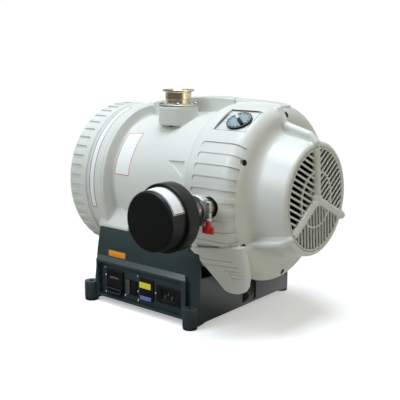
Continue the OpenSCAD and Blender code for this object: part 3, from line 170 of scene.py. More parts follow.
def addStudio(settings):
    world = bpy.data.worlds.new("world")
    bpy.context.scene.world = world
    world.use_nodes = True
    tree = world.node_tree
    tree.nodes.clear()
    sky = tree.nodes.new("ShaderNodeBackground")
    sky.inputs["Color"].default_value = (*settings["skyColour"], 1)
    sky.inputs["Strength"].default_value = settings["skyStrength"]
    white = tree.nodes.new("ShaderNodeBackground")
    white.inputs["Color"].default_value = (1, 1, 1, 1)
    white.inputs["Strength"].default_value = 1.0
    room = tree.nodes.new("ShaderNodeBackground")
    room.inputs["Color"].default_value = (*settings["skyColour"], 1)
    way = tree.nodes.new("ShaderNodeTexCoord").outputs["Generated"]
    ways = tree.nodes.new("ShaderNodeSeparateXYZ")
    tree.links.new(way, ways.inputs[0])
    fade = tree.nodes.new("ShaderNodeMapRange")
    fade.interpolation_type = "SMOOTHSTEP"
    fade.inputs["From Min"].default_value = settings["skyFrom"]
    fade.inputs["From Max"].default_value = settings["skyTo"]
    fade.inputs["To Min"].default_value = settings["roomShade"]
    fade.inputs["To Max"].default_value = settings["skyGlow"]
    tree.links.new(ways.outputs["Z"], fade.inputs["Value"])
    brightest = fade.outputs["Result"]
    for wall in (settings["backdrop"], settings["leftWall"]):
        most = tree.nodes.new("ShaderNodeMath")
        most.operation = "MAXIMUM"
        tree.links.new(brightest, most.inputs[0])
        tree.links.new(paleTowards(tree, way, wall, settings["roomShade"]), most.inputs[1])
        brightest = most.outputs[0]
    tree.links.new(brightest, room.inputs["Strength"])
    paths = tree.nodes.new("ShaderNodeLightPath")
    lit = mixShaders(tree, paths.outputs["Is Glossy Ray"], sky.outputs[0], room.outputs[0])
    output = tree.nodes.new("ShaderNodeOutputWorld")
    tree.links.new(mixShaders(tree, seenRay(tree), lit, white.outputs[0]), output.inputs["Surface"])
    for lamp in settings["lamps"]:
        data = bpy.data.lights.new(lamp["name"], "AREA")
        data.shape = "DISK"
        data.size = lamp["size"]
        data.energy = lamp["power"]
        data.color = lamp["colour"]
        item = bpy.data.objects.new(lamp["name"], data)
        bpy.context.scene.collection.objects.link(item)
        item.location = lamp["place"]
        aim = Vector(settings["aim"]) - Vector(lamp["place"])
        item.rotation_euler = aim.to_track_quat("-Z", "Y").to_euler()
    bpy.ops.mesh.primitive_plane_add(size=settings["floorSize"], location=(0, 0, 0))
    floor = bpy.context.object
    floor.name = "floor"
    floor.data.materials.append(makeFloor(settings))
    bpy.context.scene.view_settings.view_transform = "Standard"


addStudio(studio)
print("studio lit")


# Effects that more than one finish uses
def newGroup(name, inputs, outputs):
    group = bpy.data.node_groups.new(name, "ShaderNodeTree")
    for label, kind, value in inputs:
        socket = group.interface.new_socket(label, in_out="INPUT", socket_type=kind)
        if value is not None:
            socket.default_value = value
    for label, kind in outputs:
        group.interface.new_socket(label, in_out="OUTPUT", socket_type=kind)
    return group, group.nodes.new("NodeGroupInput"), group.nodes.new("NodeGroupOutput")


def makeGrain():
    # Broad mottling as a mask, and fine grain as a height
    group, start, end = newGroup("surfaceGrain",
        [("Place", "NodeSocketVector", None), ("Broad Scale", "NodeSocketFloat", 9.0),
         ("Fine Scale", "NodeSocketFloat", 900.0)],
        [("Mottle", "NodeSocketFloat"), ("Grain", "NodeSocketFloat")])
    broad = group.nodes.new("ShaderNodeTexNoise")
    broad.inputs["Detail"].default_value = 5
    broad.inputs["Roughness"].default_value = 0.55
    fine = group.nodes.new("ShaderNodeTexNoise")
    fine.inputs["Detail"].default_value = 2
    for noise, label in ((broad, "Broad Scale"), (fine, "Fine Scale")):
        group.links.new(start.outputs["Place"], noise.inputs["Vector"])
        group.links.new(start.outputs[label], noise.inputs["Scale"])
    group.links.new(broad.outputs["Fac"], end.inputs["Mottle"])
    group.links.new(fine.outputs["Fac"], end.inputs["Grain"])
    return group


def makeRings():
    # Fine rings round an upright axis, as turning leaves them
    group, start, end = newGroup("turnedRings",
        [("Place", "NodeSocketVector", None), ("Ring Scale", "NodeSocketFloat", 900.0)],
        [("Rings", "NodeSocketFloat")])
    squeeze = group.nodes.new("ShaderNodeVectorMath")
    squeeze.operation = "MULTIPLY"
    squeeze.inputs[1].default_value = (0.04, 0.04, 1)
    noise = group.nodes.new("ShaderNodeTexNoise")
    noise.inputs["Detail"].default_value = 3
    group.links.new(start.outputs["Place"], squeeze.inputs[0])
    group.links.new(squeeze.outputs[0], noise.inputs["Vector"])
    group.links.new(start.outputs["Ring Scale"], noise.inputs["Scale"])
    group.links.new(noise.outputs["Fac"], end.inputs["Rings"])
    return group


grainGroup = makeGrain()
ringGroup = makeRings()


def finish(name, color, rough, metal=0.0, mottle=0.05, broad=9.0, fine=900.0, bump=0.05, depth=0.0004,
           coat=0.0, roughSpread=0.08, rings=None, shine=0.5):
    # One painted, moulded or metal surface, with mottled colour, uneven gloss and a fine grain
    material = bpy.data.materials.new(name)
    material.use_nodes = True
    tree = material.node_tree
    shader = tree.nodes["Principled BSDF"]
    shader.inputs["Metallic"].default_value = metal
    shader.inputs["Coat Weight"].default_value = coat
    shader.inputs["Specular IOR Level"].default_value = shine
    shader.inputs["Coat Roughness"].default_value = 0.25
    place = tree.nodes.new("ShaderNodeTexCoord")
    grain = tree.nodes.new("ShaderNodeGroup")
    grain.node_tree = grainGroup
    grain.inputs["Broad Scale"].default_value = broad
    grain.inputs["Fine Scale"].default_value = fine
    tree.links.new(place.outputs["Object"], grain.inputs["Place"])
    shade = tree.nodes.new("ShaderNodeMix")
    shade.data_type = "RGBA"
    shade.inputs["A"].default_value = (*[c * (1 - mottle) for c in color], 1)
    shade.inputs["B"].default_value = (*[min(1, c * (1 + mottle)) for c in color], 1)
    tree.links.new(grain.outputs["Mottle"], shade.inputs["Factor"])
    tree.links.new(shade.outputs["Result"], shader.inputs["Base Color"])
    gloss = tree.nodes.new("ShaderNodeMapRange")
    gloss.inputs["From Min"].default_value = 0.3
    gloss.inputs["From Max"].default_value = 0.7
    gloss.inputs["To Min"].default_value = max(0.03, rough - roughSpread)
    gloss.inputs["To Max"].default_value = min(1, rough + roughSpread)
    tree.links.new(grain.outputs["Mottle"], gloss.inputs["Value"])
    tree.links.new(gloss.outputs["Result"], shader.inputs["Roughness"])
    relief = tree.nodes.new("ShaderNodeBump")
    relief.inputs["Strength"].default_value = bump
    relief.inputs["Distance"].default_value = depth
    if rings:
        ring = tree.nodes.new("ShaderNodeGroup")
        ring.node_tree = ringGroup
        ring.inputs["Ring Scale"].default_value = rings
        tree.links.new(place.outputs["Object"], ring.inputs["Place"])
        tree.links.new(ring.outputs["Rings"], relief.inputs["Height"])
    else:
        tree.links.new(grain.outputs["Grain"], relief.inputs["Height"])
    tree.links.new(relief.outputs["Normal"], shader.inputs["Normal"])
    return material


finishes = {
    "offWhite": finish("offWhitePaint", (0.69, 0.70, 0.655), 0.42, mottle=0.03, bump=0.10, coat=0.15),
    "darkBlue": finish("darkBluePaint", (0.029, 0.048, 0.051), 0.36, mottle=0.08, bump=0.12, coat=0.2),
    "plateBlue": finish("bluePlate", (0.15, 0.20, 0.55), 0.35, mottle=0.04, bump=0.03),
    "plateOrange": finish("orangePlate", (0.90, 0.33, 0.02), 0.35, mottle=0.04, bump=0.03),
    "markBlack": finish("darkMark", (0.012, 0.014, 0.016), 0.45, mottle=0.05, bump=0.03, shine=0.2),
    "markRed": finish("redLine", (0.55, 0.03, 0.03), 0.35, mottle=0.04, bump=0.02),
    "dialBar": finish("paleBar", (0.62, 0.68, 0.70), 0.35, mottle=0.04, bump=0.03),
    # Painted shade: near black for the cowl's inside and its screws' recesses, which lie in shadow
    "paintedShadeInside": finish("paintedShadeInside", (0.035, 0.033, 0.028), 0.7, mottle=0.2, bump=0.1),
    "rubber": finish("blackRubber", (0.012, 0.012, 0.012), 0.75, mottle=0.2, bump=0.2),
    "blackPlastic": finish("blackMoulding", (0.008, 0.009, 0.009), 0.42, mottle=0.15, bump=0.12, shine=0.3),
    "silencerBlack": finish("silencerMoulding", (0.006, 0.0075, 0.0075), 0.34, mottle=0.2, bump=0.10,
                            shine=0.32),
    "brightSteel": finish("brightSteel", (0.66, 0.66, 0.65), 0.25, metal=1, mottle=0.05, bump=0.05),
    "castAlloy": finish("castAlloy", (0.56, 0.56, 0.55), 0.45, metal=1, mottle=0.1, bump=0.3),
    "turnedSteel": finish("turnedWarmSteel", (0.78, 0.69, 0.50), 0.25, metal=1, mottle=0.08, bump=0.12,
                          rings=700.0),
    "sealWhite": finish("sealWhite", (0.80, 0.79, 0.74), 0.6, mottle=0.04, bump=0.1),
    "coreSteel": finish("varnishedSheets", (0.16, 0.17, 0.19), 0.45, metal=0.6, mottle=0.1, bump=0.2),
    "copper": finish("varnishedCopper", (0.50, 0.22, 0.08), 0.3, metal=1, mottle=0.2, bump=0.4, fine=500),
    "labelWhite": finish("labelFilm", (0.86, 0.86, 0.85), 0.3, mottle=0.02, bump=0.02),
    "plateYellow": finish("yellowPlate", (0.84, 0.76, 0.03), 0.35, mottle=0.04, bump=0.03),
    "dialGrey": finish("dialBlueGrey", (0.28, 0.36, 0.39), 0.3, mottle=0.05, bump=0.05),
    "nutRed": finish("nutRed", (0.58, 0.008, 0.008), 0.28, mottle=0.08, bump=0.05, coat=0.3),
}
slotFinish = {
    "base_paint": "darkBlue", "pump_paint": "offWhite", "rubber": "rubber", "black_plastic": "blackPlastic",
    "bare_steel": "brightSteel", "cast_alloy": "castAlloy", "turned_steel": "turnedSteel",
    "seal_white": "sealWhite", "core_steel": "coreSteel", "copper": "copper", "label_white": "labelWhite",
    "plate_colours": "plateYellow", "dial_grey": "dialGrey", "nut_red": "nutRed",
}
for part in frame["record"]["subparts"]:
    item = nodes[part["node"]]
    item.data.materials.clear()
    item.data.materials.append(finishes[slotFinish[part["material_slot"]]])
for name in ("silencer_rear", "silencer_front"):
    nodes[name].data.materials[0] = finishes["silencerBlack"]
print("finishes made:", len(finishes))


# Shared steps for new pieces, which are modelled in millimetres and scaled at the end
def meshOf(bm, name):
    # Merged, outward-facing mesh in metres
    bmesh.ops.remove_doubles(bm, verts=bm.verts, dist=0.0005)
    bmesh.ops.recalc_face_normals(bm, faces=bm.faces)
    bmesh.ops.scale(bm, vec=(mm, mm, mm), verts=bm.verts)
    mesh = bpy.data.meshes.new(name)
    bm.to_mesh(mesh)
    bm.free()
    return mesh


def linked(name, mesh):
    item = bpy.data.objects.new(name, mesh)
    bpy.context.scene.collection.objects.link(item)
    return item


def settle(item):
    # Applies the modifiers, so that the piece is plain mesh
    graph = bpy.context.evaluated_depsgraph_get()
    done = bpy.data.meshes.new_from_object(item.evaluated_get(graph))
    item.modifiers.clear()
    item.data = done


def dress(item, body, finishName, hidden=(), sharp=32, others=()):
    # Shading, finishes by the faces' marks, and what the piece rides on and stands for
    item.data.shade_smooth()
    item.data.set_sharp_from_angle(angle=radians(sharp))
    marks = [face.material_index for face in item.data.polygons]
    item.data.materials.clear()
    for name in (finishName, *others):
        item.data.materials.append(finishes[name])
    for face, mark in zip(item.data.polygons, marks):
        face.material_index = min(mark, len(others))
    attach(item, body)
    if hidden:
        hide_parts(*hidden)
    return item


def arcPoints(centre, radius, start, end, count):
    steps = [radians(start + (end - start) * k / count) for k in range(count + 1)]
    return [(centre[0] + radius * cos(a), centre[1] + radius * sin(a)) for a in steps]


def lathe(bm, outline, closed, steps=128, centre=(0, 0, axisHeight), axis=(1, 0, 0)):
    # Turns an outline of (along the axis, radius) points about the axis
    along = Vector(axis).normalized()
    side = Vector((0, 0, 1)) if abs(along.z) < 0.5 else Vector((1, 0, 0))
    middle = Vector(centre)
    verts = [bm.verts.new(middle + along * (x - middle.dot(along)) + side * r) for x, r in outline]
    pairs = list(zip(verts, verts[1:])) + ([(verts[-1], verts[0])] if closed else [])
    edges = [bm.edges.new(pair) for pair in pairs]
    bmesh.ops.spin(bm, geom=verts + edges, cent=middle, axis=along, angle=2 * pi, steps=steps,
                   use_merge=True, use_duplicate=False)


def addBox(bm, low, high, turn=None):
    made = bmesh.ops.create_cube(bm, size=1)["verts"]
    middle = (Vector(low) + Vector(high)) / 2
    size = Vector(high) - Vector(low)
    bmesh.ops.scale(bm, vec=size, verts=made)
    bmesh.ops.translate(bm, vec=middle, verts=made)
    if turn:
        bmesh.ops.transform(bm, matrix=turn, verts=made)
    return made


def mark(verts, number):
    # The finish that the faces at these vertices take
    for face in {face for vert in verts for face in vert.link_faces}:
        face.material_index = number


def addRod(bm, start, end, radius, endRadius=None, segments=32, turn=None):
    start, end = Vector(start), Vector(end)
    made = bmesh.ops.create_cone(bm, cap_ends=True, segments=segments, radius1=radius,
                                 radius2=radius if endRadius is None else endRadius,
                                 depth=(end - start).length)["verts"]
    lean = (end - start).to_track_quat("Z", "Y").to_matrix().to_4x4()
    bmesh.ops.transform(bm, matrix=Matrix.Translation((start + end) / 2) @ lean, verts=made)
    if turn:
        bmesh.ops.transform(bm, matrix=turn, verts=made)
    return made


def addBall(bm, place, radius, turn=None):
    made = bmesh.ops.create_icosphere(bm, subdivisions=3, radius=radius)["verts"]
    bmesh.ops.translate(bm, vec=place, verts=made)
    if turn:
        bmesh.ops.transform(bm, matrix=turn, verts=made)


def aboutAxis(angle):
    # A turn about the pump's centre line, from the far side upwards
    return Matrix.Translation((0, 0, axisHeight)) @ Matrix.Rotation(radians(angle), 4, "X")


def addLoft(bm, loops):
    # A solid through closed loops of as many points each, with flat ends
    rings = [[bm.verts.new(p) for p in loop] for loop in loops]
    for near, far in zip(rings, rings[1:]):
        for k in range(len(near)):
            after = (k + 1) % len(near)
            bm.faces.new((near[k], near[after], far[after], far[k]))
    bm.faces.new(rings[0][::-1])
    bm.faces.new(rings[-1])
    return [vert for ring in rings for vert in ring]


def addPrism(bm, outline, shift):
    # A flat outline pushed along a straight way
    shift = Vector(shift)
    addLoft(bm, [[Vector(p) for p in outline], [Vector(p) + shift for p in outline]])


def addPocket(bm, low, high, lowRound, highRound, halfAngle, depth, lift, line, turn, rows=9, columns=10):
    # A cutter for a shallow recess in a turned surface: line gives the radius at x, a distance inside it
    rounding = max(lowRound, highRound, 0.01)
    loops = []
    reach = line((low + high) / 2, 0) * radians(halfAngle)
    for row in range(rows + 1):
        side = -1 + 2 * row / rows
        edge = max(0.0, abs(side) * reach - (reach - rounding)) / rounding
        inset = 1 - sqrt(max(0.0, 1 - edge * edge))
        start, end = low + lowRound * inset, high - highRound * inset
        angle = radians(halfAngle * side)
        places = [start + (end - start) * k / columns for k in range(columns + 1)]
        inner = [(x, line(x, depth)) for x in places]
        outer = [(x, line(x, -lift)) for x in places[::-1]]
        loops.append([turn @ Vector((x, r * cos(angle), r * sin(angle))) for x, r in inner + outer])
    addLoft(bm, loops)


def fuse(item, voxel, smoothing, ratio):
    # Melts overlapping shells into one casting with soft inner corners
    remesh = item.modifiers.new("fuse", "REMESH")
    remesh.mode = "VOXEL"
    remesh.voxel_size = voxel * mm
    relax = item.modifiers.new("relax", "SMOOTH")
    relax.factor = 0.5
    relax.iterations = smoothing
    thin = item.modifiers.new("thin", "DECIMATE")
    thin.ratio = ratio
    settle(item)


def carve(item, cutters):
    # Cuts the joined cutters out of the piece
    cutMesh = meshOf(cutters, item.name + "Cut")
    cutItem = linked(item.name + "Cut", cutMesh)
    cut = item.modifiers.new("carve", "BOOLEAN")
    cut.operation = "DIFFERENCE"
    cut.object = cutItem
    cut.solver = "EXACT"
    settle(item)
    bpy.data.objects.remove(cutItem)


# Motor cowl: one casting with its skirt, its ribs and the rims round its holes
cowl = {
    "left": 108, "radius": 150, "edgeRound": 10, "edgeDrop": 6,
    "shoulder": 213, "shoulderRound": 26, "throatRound": 18,
    "noseStart": 105, "noseEnd": 95, "right": 274, "rimRound": 7,
    "wall": 3.5, "lipDepth": 4, "opening": 85.2,
    "ribPath": ((204, 144), (216, 118), (262, 105), (272.8, 94)),
    "webPath": ((200, 134), (218, 106), (262, 98)),
    "ribRadius": 6.9, "ribAngles": (95, 215, 335),
    "skirtShares": ((0.07, 0.75), (0.2, 0.576), (0.408, 0.306), (0.608, 0.035), (0.683, 0), (0.817, 0.012),
                    (0.904, 0.06), (0.967, 0.176), (1, 0.388), (0.992, 0.624), (0.975, 0.835), (0.967, 0.99),
                    (0.725, 0.93), (0.07, 0.776)),
    "skirtLow": (108, 73), "skirtHigh": (228, 158), "skirtTopY": 138, "skirtLowY": 124, "skirtThick": 14,
    "skirtRound": 9,
    "casingLow": (90, -160, 60), "casingHigh": (135, -90, 129.5),
    "screwRing": 133.8, "screwCount": 6, "screwRecess": 4.8, "screwFloor": 204,
    "bossRadius": 8, "bossLeft": 196, "bossRight": 209,
    "holePlace": (168.7, 215.5), "holeRadius": 17, "holeFrom": -155, "holeTo": -75,
    "panelAngle": 120.3, "panelMiddle": 167, "panelLength": 62, "panelWidth": 58, "panelFloor": 130,
    "fluteFrom": 130, "fluteTo": 209, "fluteHalf": 2.3, "fluteRound": 4.5, "fluteDepth": 1.2,
    "fluteStep": 7.4, "fluteRows": 5, "cutAbove": 3,
    "scoreRadius": 1.5, "scoreLift": 0.3,
    "scores": (((135.3, 123.8), (201.9, 129.4)), ((140.3, 115.5), (215.8, 121.8)),
               ((185.2, 112.1), (221.9, 114.8)), ((194.5, 107.9), (224.5, 110.2)),
               ((197.7, 101.4), (224.6, 104.5))),
    "innerBend": 201, "innerStart": 104, "innerSlope": 0.16,
    "ridgeFront": 4, "ridgeBack": 26, "ridgeLine": ((109, 0.95), (109, 1.04), (142, 1.03), (175, 1.018),
                                                    (192, 1.008), (203, 0.985), (203, 0.95)),
    "voxel": 1.35, "smoothing": 6, "thinTo": 0.34,
}


def cowlOutline(c):
    lean = degrees(atan2(c["noseStart"] - c["noseEnd"], c["right"] - c["shoulder"]))
    edge, shoulder, bend, rimRound = c["edgeRound"], c["shoulderRound"], c["throatRound"], c["rimRound"]
    throat = (c["shoulder"] + bend, c["noseStart"] - bend * tan(radians(lean)) + bend / cos(radians(lean)))

    def line(inside):
        return (arcPoints((c["left"] + edge, c["radius"] - edge), edge - inside, 180, 90, 8)
                + arcPoints((c["shoulder"] - shoulder, c["radius"] - shoulder), shoulder - inside, 90, 0, 14)
                + arcPoints(throat, bend + inside, 180, 270 - lean, 12))

    rim = arcPoints((c["right"] - rimRound, c["noseEnd"] - rimRound), rimRound, 90 - lean, 0, 8)
    floor = c["right"] - c["lipDepth"]
    lip = [(c["right"], c["opening"]), (floor, c["opening"]), (floor, c["noseEnd"] - c["wall"])]
    inner = c["radius"] - edge - c["edgeDrop"]
    return line(0) + rim + lip + line(c["wall"])[::-1] + [(c["left"] + c["wall"], inner), (c["left"], inner)]


def addBar(bm, outline, shift):
    # A flat outline extruded along a straight way; gives the near side's vertices
    near = [bm.verts.new(place) for place in outline]
    far = bmesh.ops.extrude_face_region(bm, geom=[bm.faces.new(near)])
    bmesh.ops.translate(bm, vec=shift,
                        verts=[v for v in far["geom"] if isinstance(v, bmesh.types.BMVert)])
    return near


def skirtY(c, share):
    # The skirt leans out as it rises
    return -c["skirtLowY"] - (c["skirtTopY"] - c["skirtLowY"]) * share


def addSkirt(bm, c):
    wide = c["skirtHigh"][0] - c["skirtLow"][0]
    tall = c["skirtHigh"][1] - c["skirtLow"][1]
    front = []
    for across, up in c["skirtShares"]:
        front.append((c["skirtLow"][0] + wide * across, skirtY(c, up), c["skirtLow"][1] + tall * up))
    near = addBar(bm, front, (0, c["skirtThick"], 0))
    rim = [e for e in bm.edges if all(v in near for v in e.verts)]
    bmesh.ops.bevel(bm, geom=rim, offset=c["skirtRound"], offset_type="OFFSET", segments=5, profile=0.5,
                    affect="EDGES", material=-1, clamp_overlap=True)


def addRidge(bm, front, back, line, radius):
    # A bar along the top, from an outline of (x, share of the radius) points
    addBar(bm, [(x, -front, axisHeight + radius * share) for x, share in line], (0, front + back, 0))


def cowlReach(c, x, inside):
    # The cowl's outside radius at x, less a distance measured square to it
    bend = c["shoulder"] - c["shoulderRound"]
    if x <= bend:
        return c["radius"] - inside
    left = (c["shoulderRound"] - inside) ** 2 - (x - bend) ** 2
    return c["radius"] - c["shoulderRound"] + sqrt(max(left, 1))


def innerReach(c, x):
    # A radius within the cowl's wall, between its outside and its inside
    return c["radius"] - 2 if x < c["innerBend"] else c["innerStart"] - (x - c["shoulder"]) * c["innerSlope"]


def makeCowl(c):
    bm = bmesh.new()
    lathe(bm, cowlOutline(c), closed=True, steps=144)
    skirt = bmesh.new()
    addSkirt(skirt, c)
    skirtItem = linked("skirtBlank", meshOf(skirt, "skirtBlank"))
    casing = bmesh.new()
    addBox(casing, c["casingLow"], c["casingHigh"])
    carve(skirtItem, casing)
    for angle in c["ribAngles"]:
        turn = aboutAxis(angle)
        for line in (c["ribPath"], c["webPath"]):
            path = [(x, r, 0) for x, r in line]
            for start, end in zip(path, path[1:]):
                addRod(bm, start, end, c["ribRadius"], segments=24, turn=turn)
            for place in path:
                addBall(bm, place, c["ribRadius"] + 0.1, turn=turn)
    screwTurns = [90 + 360 / c["screwCount"] * k for k in range(c["screwCount"])]
    ring = c["screwRing"]
    for angle in screwTurns:
        addRod(bm, (c["bossLeft"], ring, 0), (c["bossRight"], ring, 0), c["bossRadius"],
               turn=aboutAxis(angle))
    addRidge(bm, c["ridgeFront"], c["ridgeBack"], c["ridgeLine"], c["radius"])
    blank = linked("cowlBlank", meshOf(bm, "cowlBlank"))
    bm = bmesh.new()
    bm.from_mesh(blank.data)
    bm.from_mesh(skirtItem.data)
    bm.to_mesh(blank.data)
    bm.free()
    bpy.data.objects.remove(skirtItem)
    fuse(blank, c["voxel"], c["smoothing"], c["thinTo"])
    cuts = bmesh.new()
    for angle in screwTurns:
        addRod(cuts, (c["screwFloor"], ring, 0), (c["right"], ring, 0), c["screwRecess"],
               turn=aboutAxis(angle))
    x, z = c["holePlace"]
    addRod(cuts, (x, c["holeFrom"], z), (x, c["holeTo"], z), c["holeRadius"], segments=48)
    addBox(cuts, (c["panelMiddle"] - c["panelLength"] / 2, c["panelFloor"], -c["panelWidth"] / 2),
           (c["panelMiddle"] + c["panelLength"] / 2, c["radius"] + 10, c["panelWidth"] / 2),
           turn=aboutAxis(c["panelAngle"]))
    carve(blank, cuts)
    flutes = bmesh.new()
    for side in (0, 180):
        for row in range(-c["fluteRows"], c["fluteRows"] + 1):
            addPocket(flutes, c["fluteFrom"], c["fluteTo"], c["fluteRound"], 0, c["fluteHalf"],
                      c["fluteDepth"], c["cutAbove"], lambda x, inside: cowlReach(c, x, inside),
                      aboutAxis(side + row * c["fluteStep"]))
    carve(blank, flutes)
    scores = bmesh.new()
    for line in c["scores"]:
        ends = []
        for x, z in line:
            share = (z - c["skirtLow"][1]) / (c["skirtHigh"][1] - c["skirtLow"][1])
            ends.append((x, skirtY(c, share) - c["scoreLift"], z))
        addRod(scores, *ends, c["scoreRadius"], segments=12)
    carve(blank, scores)
    blank.name = "cowlCasting"
    dress(blank, "frame", "offWhite", hidden=("motor_cowl",), sharp=40)
    # The inside and the screws' recesses take a near black finish: painted shade, where the cowl's hollow and
    # its recesses lie in shadow
    blank.data.materials.append(finishes["paintedShadeInside"])
    recesses = [(ring * cos(radians(a)), ring * sin(radians(a))) for a in screwTurns]
    for face in blank.data.polygons:
        x, y, z = face.center / mm - Vector((0, 0, axisHeight))
        faceIn = face.normal.y * y + face.normal.z * z < 0 and face.normal.x < 0.5
        within = x < c["right"] - 1 and hypot(y, z) < innerReach(c, x)
        recessed = x > c["screwFloor"] - 0.1 and any(
            hypot(y - a, z - b) < c["screwRecess"] + 0.05 for a, b in recesses)
        if (faceIn and within) or recessed:
            face.material_index = 1
    weigh = blank.modifiers.new("weigh", "WEIGHTED_NORMAL")
    weigh.keep_sharp = True
    settle(blank)
    return blank


cowlPiece = makeCowl(cowl)
print("cowl:", len(cowlPiece.data.polygons), "faces")


# Pump housing: flange, cone, inlet boss, feet and the ridge behind the inlet, as one casting
housing = {
    "seam": -127, "bandRadius": 139, "bandRight": -82.5, "chamber": 122, "edge": 2, "filletRadius": 7,
    "coneRadius": 116, "coneEnd": 106, "coneEndRadius": 135.5, "overlap": 4, "wall": 7, "shelf": -86,
    "inlet": (18.6, -49.3), "bossRadius": 34.8, "bossTop": 361.46, "bossSunk": 16,
    "throat": 18.5, "boreSunk": 40,
    "foot": (-108, -34), "footLine": ((-127, 140.4), (-127, 146), (-110.3, 176), (-109, 176), (-107, 140.4)),
    "lugPlaces": (-58, 80), "lugY": 22, "lugWidth": 36, "lugLow": 64, "lugSunk": 4,
    "ridgeFront": 4, "ridgeBack": 26,
    "ridgeLine": ((-119, 0.85), (-119, 0.905), (-98, 0.94), (-59, 0.987), (-24, 1.02), (9, 1.04), (41, 1.053),
                  (76, 1.053), (107.6, 1.04), (107.6, 0.93), (100, 0.87), (20, 0.81), (-60, 0.755),
                  (-80, 0.75),
                  (-88, 0.82)),
    "cowlRadius": 150,
    "grooves": (-121.5, -88.5), "grooveDepth": 0.7, "grooveWidth": 0.8, "cutPast": 9,
    "pocket": ((56, 154), (94, 154), (96.5, 166)), "pocketDepth": 2.2, "pocketCut": 12,
    "voxel": 1.5, "smoothing": 5, "thinTo": 0.5,
}


def coneAt(x, h=housing):
    slope = (h["coneEndRadius"] - h["coneRadius"]) / (h["coneEnd"] - h["bandRight"])
    return h["coneRadius"] + slope * (x - h["bandRight"])


def makeHousing(h):
    f, e, seam, right = h["filletRadius"], h["edge"], h["seam"], h["bandRight"]
    bm = bmesh.new()
    band = [(seam, h["chamber"]), (seam, h["bandRadius"] - e), (seam + e, h["bandRadius"]),
            (right - e, h["bandRadius"]), (right, h["bandRadius"] - e)]
    fillet = arcPoints((right + f, coneAt(right + f) + f), f, 180, 270, 8)
    end = h["coneEnd"] + h["overlap"]
    inside = [(end, coneAt(end)), (end, coneAt(end) - h["wall"]),
              (h["shelf"], h["coneRadius"] - h["wall"]), (h["shelf"], h["chamber"])]
    lathe(bm, band + fillet + inside, closed=True, steps=144)
    x, y = h["inlet"]
    addRod(bm, (x, y, axisHeight + coneAt(x) - h["bossSunk"]), (x, y, h["bossTop"]), h["bossRadius"],
           segments=96)
    footLeft, footRight = h["foot"]
    addBar(bm, [(footLeft, q, z) for q, z in h["footLine"]], (footRight - footLeft, 0, 0))
    half = h["lugWidth"] / 2
    for lugX in h["lugPlaces"]:
        top = axisHeight - sqrt(coneAt(lugX) ** 2 - (h["lugY"] + half) ** 2) + h["lugSunk"]
        for lugY in (-h["lugY"], h["lugY"]):
            addBox(bm, (lugX - half, lugY - half, h["lugLow"]), (lugX + half, lugY + half, top))
    addRidge(bm, h["ridgeFront"], h["ridgeBack"], h["ridgeLine"], h["cowlRadius"])
    blank = linked("housingBlank", meshOf(bm, "housingBlank"))
    fuse(blank, h["voxel"], h["smoothing"], h["thinTo"])
    # The space inside, for the scrolls and the motor
    space = bmesh.new()
    left, past = seam - h["cutPast"], end + h["cutPast"]
    lathe(space, [(left, 0), (left, h["chamber"]), (h["shelf"], h["chamber"]),
                  (h["shelf"], h["coneRadius"] - h["wall"]), (past, coneAt(past) - h["wall"]), (past, 0)],
          closed=False, steps=144)
    carve(blank, space)
    cuts = bmesh.new()
    addRod(cuts, (x, y, h["bossTop"] + 5), (x, y, axisHeight + coneAt(x) - h["boreSunk"]), h["throat"],
           segments=64)
    corners = []
    for px, angle in h["pocket"]:
        reach = coneAt(px) - h["pocketDepth"]
        corners.append((px, reach * cos(radians(angle)), axisHeight + reach * sin(radians(angle))))
    middle = radians(sum(a for _, a in h["pocket"]) / 3)
    addPrism(cuts, corners, (0, h["pocketCut"] * cos(middle), h["pocketCut"] * sin(middle)))
    carve(blank, cuts)
    rings = bmesh.new()
    for place in h["grooves"]:
        w, d, r = h["grooveWidth"] / 2, h["grooveDepth"], h["bandRadius"]
        lathe(rings, [(place - w, r - d), (place + w, r - d), (place + w, r + 2), (place - w, r + 2)],
              closed=True, steps=144)
    carve(blank, rings)
    blank.name = "housingCasting"
    return dress(blank, "frame", "offWhite", hidden=("pump_housing", "top_bridge"), sharp=40)


housingPiece = makeHousing(housing)
print("housing:", len(housingPiece.data.polygons), "faces")


# Scroll cover: a turned cap with pockets round its rim and rings on its face
cover = {
    "seam": -127.2, "left": -165, "nose": 13, "radius": 139.5, "rimRound": 10,
    "capRadius": 118, "capRound": 8, "wall": 3.5, "edge": 1.6,
    "fluteCount": 48, "fluteHalf": 2.3, "fluteRound": 4, "fluteDepth": 2.6, "fluteLength": 27, "cutAbove": 3,
    "ringPlaces": (96, 72, 40), "ringWidth": 2.4, "ringDepth": 1.0,
}


def makeCover(c):
    seam, left, wall = c["seam"], c["left"], c["wall"]
    end = left - c["nose"]
    outside = ([(seam, c["radius"] - c["edge"]), (seam - c["edge"], c["radius"]), (left, c["radius"])]
               + arcPoints((left, c["radius"] - c["rimRound"]), c["rimRound"], 100, 140, 5)
               + arcPoints((end + c["capRound"], c["capRadius"] - c["capRound"]), c["capRound"], 125, 180, 6))
    faceRings = []
    for ring in c["ringPlaces"]:
        w, d = c["ringWidth"] / 2, c["ringDepth"]
        faceRings += [(end, ring + w), (end + d, ring + w * 0.6), (end + d, ring - w * 0.6), (end, ring - w)]
    inside = [(end, 0), (end + wall, 0), (end + wall, c["capRadius"] - wall - 2),
              (left + 1, c["radius"] - wall - 2), (seam, c["radius"] - wall - 1)]
    bm = bmesh.new()
    lathe(bm, outside + faceRings + inside, closed=True, steps=192)
    bmesh.ops.dissolve_degenerate(bm, edges=bm.edges, dist=0.001)
    piece = linked("scrollCover", meshOf(bm, "scrollCover"))
    cuts = bmesh.new()
    for k in range(c["fluteCount"]):
        addPocket(cuts, end - c["cutAbove"], left + c["fluteLength"], 0, c["fluteRound"], c["fluteHalf"],
                  c["fluteDepth"], c["cutAbove"], lambda x, inside: c["radius"] - inside,
                  aboutAxis((k + 0.5) * 360 / c["fluteCount"]), rows=7, columns=1)
    carve(piece, cuts)
    return dress(piece, "frame", "offWhite", hidden=("scroll_cover",), sharp=35)


